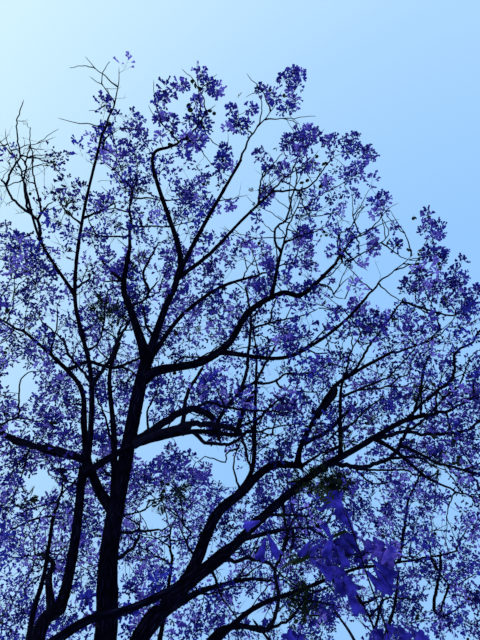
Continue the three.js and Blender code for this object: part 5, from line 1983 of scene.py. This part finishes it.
@dataclass(frozen=True)
class Trumpet:
    """A near flower's shape: a bent tube that widens to a mouth with five rounded lobes, with an
    inner wall, closed all round."""

    length: float = 0.047
    neck: float = 0.0020
    throat: float = 0.0078
    tube_share: float = 0.74
    tube_flare: float = 0.8
    lobes: int = 5
    lobe: float = 0.0115
    cleft: float = 0.42
    lobe_gain: float = 0.58
    roundness: float = 0.7
    rise: float = 1.15
    droop: float = 0.75
    sides: int = 20
    tube_rings: int = 8
    lobe_rings: int = 4
    bend: float = 0.10
    wall: float = 0.0004
    inner_foot: float = 3.0

    def skin(self, openness: float, shrink: float) -> Array:
        """The rings of one wall along +Z, (rings, sides, 3), set in by a thickness."""
        angles = np.arange(self.sides) * math.tau / self.sides
        reach = self.cleft + self.lobe_gain * np.abs(np.cos(self.lobes / 2 * angles)) ** self.roundness
        rings = []
        for t in np.linspace(0.0, 1.0, self.tube_rings):
            widening = (t * t * (3 - 2 * t)) ** self.tube_flare
            radius = self.neck + (self.throat - self.neck) * widening - shrink
            height = t * self.tube_share * self.length
            rings.append((np.full(self.sides, radius), np.full(self.sides, height)))
        for u in np.linspace(0.0, 1.0, self.lobe_rings + 1)[1:]:
            out = self.throat - shrink + self.lobe * openness * u * reach
            rise = self.lobe * u * reach * (self.rise - self.droop * openness * u)
            rings.append((out, self.tube_share * self.length + rise + shrink * u))
        radii, heights = (np.array(part) for part in zip(*rings, strict=True))
        x = radii * np.cos(angles) + self.bend * heights**2 / self.length
        return np.stack([x, radii * np.sin(angles), heights], -1)

    def build(self, openness: float) -> tuple[Array, Array]:
        """One flower along +Z: its vertices and triangles."""
        outer, inner = self.skin(openness, 0.0), self.skin(openness, self.wall)
        inner[0, :, 2] += self.wall * self.inner_foot
        rings = np.concatenate([outer, inner[::-1]])
        count, sides = len(rings), self.sides
        walls = tube_triangles(count, sides)
        body = walls[: 2 * (count - 1) * sides]
        fan = np.arange(1, sides - 1)
        foot = np.stack([np.zeros(sides - 2, int), fan + 1, fan], -1)
        far = (count - 1) * sides
        back = np.stack([np.full(sides - 2, far), far + fan, far + fan + 1], -1)
        return rings.reshape(-1, 3), np.concatenate([body, foot, back])


@dataclass(frozen=True)
class NearPanicle:
    """The low bough's panicle, close over the eye, with flowers that show their tubes and lobes."""

    sight: Sight = Sight()
    depth: float = 0.955
    drawn_share: float = 0.95
    stalk_points: int = 17
    stalk_sides: int = 6
    stalk_radius: float = 0.0013
    main_girth: float = 1.5
    side_girth: float = 0.85
    stalk_taper: float = 0.6
    first_knot: int = 3
    spin_rise: float = 10.0
    pedicel_radius: float = 0.0007
    pedicel_sides: int = 5
    pedicel_bow: float = 0.006
    pedicel_end: float = 0.003
    leaf_depth: float = 0.01
    seed: int = 9

    def stalk_lines(self) -> list[Array]:
        """Smooth lines along the stalks."""
        lines = []
        for stalk in NEAR_STALKS:
            path = Path(np.array([self.sight.spot(*place) for place in stalk]))
            lines.append(path.points(np.linspace(0.0, 1.0, self.stalk_points)))
        return lines

    def pose(self, flower: NearFlower) -> tuple[Array, Array]:
        """Where a flower's foot is and which way it points, at its true length."""
        length = Trumpet.length * flower.size * self.drawn_share
        x, y = (m - f for m, f in zip(flower.mouth, flower.foot, strict=True))
        seen = math.hypot(x, y) * self.depth / self.sight.focal
        tilt = math.sqrt(max(length**2 - seen**2, 0.0))
        foot = self.sight.spot(*flower.foot, self.depth)
        mouth = self.sight.spot(*flower.mouth, self.depth + tilt)
        return foot, unit(mouth - foot)

    def build(self, deep: Material, pale: Material, bark: Material) -> None:
        """Builds the deep and the pale flowers and the stalks that join them."""
        rng, stalks = Rng(self.seed), MeshStore()
        blossom, lilac = MeshStore(), MeshStore()
        lines = self.stalk_lines()
        for number, line in enumerate(lines):
            radius = self.stalk_radius * (self.side_girth if number else self.main_girth)
            radii = np.linspace(radius, radius * self.stalk_taper, len(line) - 1)
            stalks.add_tubes(line[None], radii[None], self.stalk_sides)
        knots = np.vstack([line[self.first_knot :] for line in lines])
        for flower in NEAR_FLOWERS:
            foot, way = self.pose(flower)
            vertices, triangles = Trumpet().build(flower.openness)
            side = unit(np.cross(way, direction(360 * rng.rand(), self.spin_rise)))
            turn = np.stack([side, np.cross(way, side), way])
            store = lilac if flower.pale else blossom
            store.add(vertices * flower.size @ turn + foot, triangles)
            near = knots[np.argmin(np.linalg.norm(knots - foot, axis=1))]
            middle = (near + foot) / 2 - way * self.pedicel_bow
            line = np.stack([near, middle, foot, foot + way * self.pedicel_end])
            stalks.add_tubes(line[None], np.full((1, 3), self.pedicel_radius), self.pedicel_sides)
        for name, store, finish, slot in (
            ("near_blossom", blossom, deep, Slot.BLOSSOM),
            ("near_lilac_blossom", lilac, pale, Slot.BLOSSOM),
            ("near_stalks", stalks, bark, Slot.BARK),
        ):
            mesh = store.mesh(name)
            mesh.shade_smooth()
            finish_piece(shown(name, mesh, finish), [])

    def leaves(self, carrier: Carrier) -> None:
        """Adds the panicle's few small leaves to the fronds' points."""
        for x, y, tip_x, tip_y in NEAR_LEAVES:
            foot = self.sight.spot(x, y, self.depth)
            tip = self.sight.spot(tip_x, tip_y, self.depth + self.leaf_depth)
            length = np.linalg.norm(tip - foot)
            carrier.add(foot, unit(tip - foot), np.array([length / Fronds.length]))


# Small shapes dealt out by geometry nodes


class NodeGrower:
    """A geometry tree that stands a shape on every point of a carrier, aimed by the point."""

    COMMON_INPUTS = (
        ("Size Spread", "NodeSocketFloat"), ("Seed", "NodeSocketInt"), ("Material", "NodeSocketMaterial"))

    def __init__(self, name: str) -> None:
        """Starts the tree with the inputs that every grower has."""
        self.tree = bpy.data.node_groups.new(name, "GeometryNodeTree")
        self.sheet = Sheet(self.tree)
        self.sockets: dict[str, str] = {}
        self.tree.interface.new_socket("Geometry", in_out="OUTPUT", socket_type="NodeSocketGeometry")
        self.add_input("Geometry", "NodeSocketGeometry")
        for title, kind in self.shape_inputs() + self.COMMON_INPUTS:
            self.add_input(title, kind)
        self.inputs = self.sheet.add("NodeGroupInput").outputs
        self.deal_out(self.shape())

    def add_input(self, title: str, kind: str) -> None:
        """Adds an input socket and keeps its identifier."""
        socket = self.tree.interface.new_socket(title, in_out="INPUT", socket_type=kind)
        self.sockets[title] = socket.identifier

    def shape_inputs(self) -> tuple[tuple[str, str], ...]:
        """The inputs of the shape itself: (title, socket type)."""
        return (("Shape", "NodeSocketObject"),)

    def shape(self) -> Socket:
        """The shape's geometry: here, that of another object."""
        info = self.sheet.add("GeometryNodeObjectInfo", {"Object": self.inputs["Shape"]})
        return info.outputs["Geometry"]

    def deal_out(self, shape: Socket) -> None:
        """Stands the shape on the points, realizes it, sets the material and ends the tree."""
        sheet, inputs = self.sheet, self.inputs
        aim = sheet.add("GeometryNodeInputNamedAttribute", {"Name": "aim"}, data_type="FLOAT_VECTOR")
        size = sheet.add("GeometryNodeInputNamedAttribute", {"Name": "size"}, data_type="FLOAT")
        aligned = sheet.add("FunctionNodeAlignRotationToVector", {"Vector": aim.outputs[0]}, axis="Z")
        angle = sheet.add(
            "FunctionNodeRandomValue", {2: 0.0, 3: math.tau, "Seed": inputs["Seed"]}, data_type="FLOAT")
        spin = sheet.add("FunctionNodeAxisAngleToRotation", {"Axis": (0, 0, 1), "Angle": angle.outputs[1]})
        turn = sheet.add("FunctionNodeRotateRotation", {
            "Rotation": aligned.outputs[0], "Rotate By": spin.outputs[0]}, rotation_space="LOCAL")
        low = sheet.math("SUBTRACT", 1.0, inputs["Size Spread"])
        high = sheet.math("ADD", 1.0, inputs["Size Spread"])
        stretch = sheet.add("FunctionNodeRandomValue", {
            2: low, 3: high, "Seed": sheet.math("ADD", inputs["Seed"], 1.0)}, data_type="FLOAT")
        scale = sheet.math("MULTIPLY", size.outputs[0], stretch.outputs[1])
        stood = sheet.add("GeometryNodeInstanceOnPoints", {
            "Points": inputs["Geometry"], "Instance": shape, "Rotation": turn.outputs[0], "Scale": scale})
        real = sheet.add("GeometryNodeRealizeInstances", {"Geometry": stood.outputs[0]})
        dressed = sheet.add(
            "GeometryNodeSetMaterial", {"Geometry": real.outputs[0], "Material": inputs["Material"]})
        sheet.add("NodeGroupOutput", {0: dressed.outputs[0]})

    def make(self, carrier: Carrier, name: str, values: dict[str, object]) -> bpy.types.Object:
        """Deals the shape out over a carrier.

        Args:
            carrier: the points.
            name: the new piece's name.
            values: a value for each named input but the geometry.

        Returns:
            A plain object with the realized mesh.
        """
        piece = carrier.object(name)
        modifier = piece.modifiers.new("grower", "NODES")
        modifier.node_group = self.tree
        for title, value in values.items():
            modifier[self.sockets[title]] = value
        graph = bpy.context.evaluated_depsgraph_get()
        mesh = bpy.data.meshes.new_from_object(piece.evaluated_get(graph))
        piece.modifiers.clear()
        piece.data = mesh
        mesh.name = name
        for extra in ("aim", "size"):
            if extra in mesh.attributes:
                mesh.attributes.remove(mesh.attributes[extra])
        return piece


class FlowerGrower(NodeGrower):
    """A grower whose shape is a small trumpet flower with pointed lobes, made by the tree itself."""

    LOBES = 3

    def shape_inputs(self) -> tuple[tuple[str, str], ...]:
        """A flower's length, the radius of its mouth, and its lobes' reach as a share of it."""
        return (("Flower Length", "NodeSocketFloat"), ("Mouth Radius", "NodeSocketFloat"),
                ("Lobe Reach", "NodeSocketFloat"))

    def shape(self) -> Socket:
        """A cone with its point at the stalk, every second corner of its rim drawn out and forward."""
        sheet, inputs = self.sheet, self.inputs
        cone = sheet.add("GeometryNodeMeshCone", {
            "Vertices": 2 * self.LOBES, "Radius Top": inputs["Mouth Radius"], "Radius Bottom": 0.0,
            "Depth": inputs["Flower Length"]}, fill_type="NONE")
        index = sheet.add("GeometryNodeInputIndex")
        odd = sheet.math("MODULO", index.outputs[0], 2.0)
        more = sheet.math("MULTIPLY", inputs["Lobe Reach"], odd)
        stretch = sheet.add("ShaderNodeCombineXYZ", {0: more, 1: more, 2: 0.0})
        place = sheet.add("GeometryNodeInputPosition")
        offset = sheet.add(
            "ShaderNodeVectorMath", {0: place.outputs[0], 1: stretch.outputs[0]}, operation="MULTIPLY")
        drawn = sheet.add(
            "GeometryNodeSetPosition", {"Geometry": cone.outputs["Mesh"], "Offset": offset.outputs[0]})
        return drawn.outputs[0]


# Studio


@dataclass(frozen=True)
class Studio:
    """The camera under the crown, the sky, the lamps and the pale floor."""

    sight: Sight = Sight()
    frame_height: float = 640.0
    film: float = 36.0
    nearest: float = 0.05
    floor_half: float = 30.0
    sky_axis: Colour = (0.371, 0.685, 0.627)
    sky_bright: Colour = (0.66, 0.90, 1.0)
    sky_middle: Colour = (0.43, 0.70, 1.0)
    sky_deep: Colour = (0.315, 0.595, 1.0)
    sky_places: Triple = (0.25, 0.60, 0.85)
    sky_strength: float = 1.0
    sun_strength: float = 2.2
    sun_angle: float = 25.0
    sun_colour: Colour = (1.0, 0.97, 0.93)
    sun_turn: Triple = (38.0, -14.0, 20.0)

    def build(self) -> None:
        """Builds all of it."""
        self.camera()
        self.sky()
        self.lamps()
        self.floor()
        bpy.context.scene.view_settings.view_transform = "Standard"

    def camera(self) -> None:
        """Sets the camera with the photograph's place, angle and frame."""
        lens = bpy.data.cameras.new("camera")
        lens.sensor_fit, lens.sensor_width = "AUTO", self.film
        lens.lens = self.film * self.sight.focal / self.frame_height
        lens.clip_start = self.nearest
        holder = bpy.data.objects.new("camera", lens)
        columns = Matrix((
            self.sight.right, self.sight.upward, tuple(-c for c in self.sight.ahead))).transposed()
        holder.matrix_world = Matrix.Translation(self.sight.eye) @ columns.to_4x4()
        bpy.context.scene.collection.objects.link(holder)
        bpy.context.scene.camera = holder

    def sky(self) -> None:
        """A pale sky that deepens to one side."""
        world = bpy.data.worlds.new("sky")
        world.use_nodes = True
        bpy.context.scene.world = world
        sheet = Sheet(world.node_tree)
        way = sheet.add("ShaderNodeTexCoord").outputs["Generated"]
        lean = sheet.add("ShaderNodeVectorMath", {0: way, 1: self.sky_axis}, operation="DOT_PRODUCT")
        tones = (self.sky_bright, self.sky_middle, self.sky_deep)
        colour = sheet.ramp(lean.outputs["Value"], *zip(self.sky_places, tones, strict=True))
        back = world.node_tree.nodes["Background"]
        sheet.join(back, {"Color": colour, "Strength": self.sky_strength})

    def lamps(self) -> None:
        """One wide, soft key lamp from high on the left."""
        light = bpy.data.lights.new("key", "SUN")
        light.energy, light.angle = self.sun_strength, math.radians(self.sun_angle)
        light.color = self.sun_colour
        lamp = bpy.data.objects.new("key", light)
        lamp.rotation_euler = tuple(math.radians(angle) for angle in self.sun_turn)
        bpy.context.scene.collection.objects.link(lamp)

    def floor(self) -> None:
        """A plain pale floor at ground level."""
        half = self.floor_half
        mesh = bpy.data.meshes.new("floor")
        corners = [(-half, -half, 0), (half, -half, 0), (half, half, 0), (-half, half, 0)]
        mesh.from_pydata(corners, [], [(0, 1, 2, 3)])
        shown("floor", mesh, PALE_FLOOR.material())


# The tree


def add_stalk(points: list[Triple], faces: list[tuple[int, ...]], foot: Triple, length: float) -> None:
    """Adds a three-sided stalk along +Z from the origin.

    Args:
        points: takes the stalk's corners.
        faces: takes its sides.
        foot: how far its foot reaches to the front, to the back and to each side.
        length: its length.
    """
    first, (front, back, half) = len(points), foot
    points += [(front, 0, 0), (-back, half, 0), (-back, -half, 0), (0, 0, length)]
    faces += [(first + i, first + (i + 1) % 3, first + 3) for i in range(3)]


@dataclass(frozen=True)
class Fronds:
    """A young leaf: a stalk with pairs of leaflets, each a pointed blade of two faces."""

    pairs: int = 6
    length: float = 0.1
    leaflet: float = 0.036
    width: float = 0.013
    first_pair: float = 0.2
    pairs_share: float = 0.75
    largest_pair: float = 2.0
    shrink: float = 0.35
    back_corner: Pair = (0.5, 0.15)
    front_corner: Pair = (0.45, 0.5)
    reach: float = 0.5
    stalk_foot: Triple = (0.0012, 0.0006, 0.001)

    def mesh(self) -> bpy.types.Mesh:
        """The leaf along +Z, for the grower to deal out."""
        points, faces = [], []
        for i in range(self.pairs):
            root = self.length * (self.first_pair + self.pairs_share * i / (self.pairs - 1))
            size = self.leaflet * (1 - self.shrink * abs(i - self.largest_pair) / self.pairs)
            (back, back_rise), (front, front_rise) = self.back_corner, self.front_corner
            for way in (-1, 1):
                first = len(points)
                points += [
                    (0, 0, root), (way * size * back, self.width / 2, root + size * back_rise),
                    (way * size, 0, root + size * self.reach),
                    (way * size * front, -self.width / 2, root + size * front_rise)]
                faces += [(first, first + 1, first + 2), (first, first + 2, first + 3)]
        add_stalk(points, faces, self.stalk_foot, self.length)
        mesh = bpy.data.meshes.new("frond")
        mesh.from_pydata(points, [], faces)
        return mesh


@dataclass(frozen=True)
class Pods:
    """A seed pod: a flat, round, wavy disc that hangs from a short stalk."""

    radius: float = 0.03
    thickness: float = 0.009
    corners: int = 10
    roundness: float = 0.86
    wave: float = 0.002
    stalk: float = 0.03
    stalk_sink: float = 0.004
    stalk_foot: Triple = (0.0015, 0.0008, 0.0013)

    def mesh(self) -> bpy.types.Mesh:
        """The pod along +Z, for the grower to deal out."""
        middle = self.stalk + self.radius
        points = [(0, self.thickness / 2, middle), (0, -self.thickness / 2, middle)]
        for i in range(self.corners):
            a = math.tau * i / self.corners
            across, up = self.radius * self.roundness * math.sin(a), middle - self.radius * math.cos(a)
            points.append((across, self.wave * (-1) ** i, up))
        faces = []
        for i in range(self.corners):
            here, after = 2 + i, 2 + (i + 1) % self.corners
            faces += [(0, after, here), (1, here, after)]
        add_stalk(points, faces, self.stalk_foot, self.stalk + self.stalk_sink)
        mesh = bpy.data.meshes.new("pod")
        mesh.from_pydata(points, [], faces)
        return mesh


@dataclass(frozen=True)
class ClumpRule:
    """How the clumps of dark leaves and the bunches of green pods are filled. Each stands on the limb
    nearest to it."""

    leaves_per_pixel: float = 2.2
    leaf_reach: Pair = (0.2, 0.8)
    leaf_waver: float = 0.5
    leaf_size: Pair = (0.7, 1.2)
    leaf_seed: int = 8
    pods_in_bunch: int = 2
    pod_drop: float = 0.02
    pod_size: Pair = (0.9, 1.2)
    pod_seed: int = 9

    def place_leaves(self, screen: Screen, leaves: Carrier) -> None:
        """Adds the clumps of dark leaves to the leaves' points."""
        rng = Rng(self.leaf_seed)
        for x, y, radius in LEAF_CLUMPS:
            _, depth = screen.nearest(x, y)
            reach, count = radius * depth / screen.sight.focal, int(radius * self.leaves_per_pixel)
            centre = screen.sight.spot(x, y, depth)
            off = unit(rng.normal(0, 1, (count, 3)))
            places = centre + off * reach * rng.uniform(*self.leaf_reach, (count, 1))
            aims = unit(off + rng.normal(0, self.leaf_waver, (count, 3)))
            leaves.add(places, aims, rng.uniform(*self.leaf_size, count))

    def place_pods(self, screen: Screen, pods: Carrier) -> None:
        """Adds the bunches of green pods to the pods' points."""
        rng = Rng(self.pod_seed)
        for x, y in POD_BUNCHES:
            _, depth = screen.nearest(x, y)
            aims = unit(rng.normal(0, 1, (self.pods_in_bunch, 3)))
            places = screen.sight.spot(x, y, depth) - aims * self.pod_drop
            pods.add(places, aims, rng.uniform(*self.pod_size, self.pods_in_bunch))


@dataclass(frozen=True)
class DealRule:
    """How the growers size and turn the flowers, leaves and pods."""

    flower_length: float = 0.050
    mouth_radius: float = 0.0098
    lobe_reach: float = 0.35
    flower_spread: float = 0.12
    first_flower_seed: int = 20
    shape_spread: float = 0.15
    shape_seed: int = 5


class Jacaranda:
    """The whole tree: limbs in bark, masses of twigs, blossom, young leaves and pods."""

    MARK_SPACING = 0.04
    FEWEST_MARKS = 8
    LIMB_PIXELS = 6.0

    def __init__(self) -> None:
        """Lays out the limbs and the masses."""
        self.skeleton = Skeleton()
        self.crown = Crown(self.skeleton)
        self.panicles: list[Panicles] = []
        self.things = SmallThings()
        self.screen = Screen(Sight())

    def build_bark(self) -> None:
        """Builds a bark piece for every limb."""
        material = BarkFinish().material()
        for limb in self.skeleton.limbs.values():
            BarkSkin().build(limb, material)

    def build_side_branches(self) -> None:
        """Builds the side branches and the spurs on them and on the limbs."""
        lines = []
        for limb in self.skeleton.limbs.values():
            if limb.row.name != "low_bough":
                marks = max(self.FEWEST_MARKS, int(limb.path.length / self.MARK_SPACING))
                shares = np.linspace(0.0, 1.0, marks)
                self.screen.add(limb.path.points(shares), limb.radii(shares), self.LIMB_PIXELS)
            if limb.row.bloom and limb.row.name not in ("low_bough", "slim_stem"):
                lines.append(limb.path)
        branches, spurs = MeshStore(), MeshStore()
        lines += SideBranches().build(self.screen, branches)
        self.panicles += SprayRule().grow(self.screen, spurs)
        self.panicles += SpurRule().grow(lines, self.skeleton, self.screen, spurs)
        finish = BRANCH_BARK.material()
        for name, store in (("side_branches", branches), ("limb_spurs", spurs)):
            stored_piece(name, store, finish, [])

    def build_twigs(self) -> None:
        """Builds one piece of twigs for every mass, which stands for the mass's solid."""
        material = TWIG_BARK.material()
        for mass in self.crown.masses:
            store = MeshStore()
            growth = FineGrowth(self.crown, mass, self.screen, TwigRule())
            self.panicles += growth.grow(store, self.things)
            stored_piece("twigs_" + mass.bough, store, material, ["bloom_" + mass.bough])

    def build_near_panicle(self) -> None:
        """Builds the panicle of large flowers on the low bough."""
        panicle = NearPanicle()
        panicle.build(NEAR_PETAL.material(), NEAR_LILAC.material(), NEAR_STALK.material())
        panicle.leaves(self.things.leaves)

    def build_blossom(self) -> None:
        """Branches the panicles and deals out their flowers, one piece for each tint."""
        stems = MeshStore()
        carriers = PanicleRule().build(self.panicles, stems)
        stored_piece("panicle_stalks", stems, FLOWER_STALK.material(), [])
        grower, rule = FlowerGrower("flower_grower"), DealRule()
        for number, (tint, carrier) in enumerate(carriers.items()):
            name = "blossom_" + tint.name.lower()
            petal = MottledFinish(name, *tint.value, PETAL_SCALE, PETAL_ROUGHNESS)
            piece = grower.make(carrier, name, {
                "Flower Length": rule.flower_length, "Mouth Radius": rule.mouth_radius,
                "Lobe Reach": rule.lobe_reach, "Size Spread": rule.flower_spread,
                "Seed": rule.first_flower_seed + number, "Material": petal.material()})
            finish_piece(piece, [])

    def build_small_things(self) -> None:
        """Deals out the young leaves and the seed pods."""
        grower, rule, things = NodeGrower("shape_grower"), DealRule(), self.things
        ClumpRule().place_leaves(self.screen, things.leaves)
        ClumpRule().place_pods(self.screen, things.green_pods)
        for name, shape, carrier, finish, slot in (
            ("young_leaves", Fronds().mesh(), things.leaves, YOUNG_LEAF, Slot.BLOSSOM),
            ("green_pods", Pods().mesh(), things.green_pods, GREEN_POD, Slot.BLOSSOM),
            ("seed_pods", Pods().mesh(), things.ripe_pods, RIPE_POD, Slot.BARK),
        ):
            model = shown(name + "_shape", shape)
            piece = grower.make(carrier, name, {
                "Shape": model, "Size Spread": rule.shape_spread, "Seed": rule.shape_seed,
                "Material": finish.material()})
            bpy.data.objects.remove(model)
            finish_piece(piece, [])


def write_sizes() -> None:
    """Updates the view layer."""
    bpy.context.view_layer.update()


def main() -> None:
    """Builds the studio and the tree and reports each piece."""
    logging.basicConfig(level=logging.INFO, format="%(message)s")
    Studio().build()
    tree = Jacaranda()
    tree.build_bark()
    tree.build_side_branches()
    tree.build_twigs()
    tree.build_near_panicle()
    tree.build_blossom()
    tree.build_small_things()
    write_sizes()


if __name__ == "__main__":
    main()
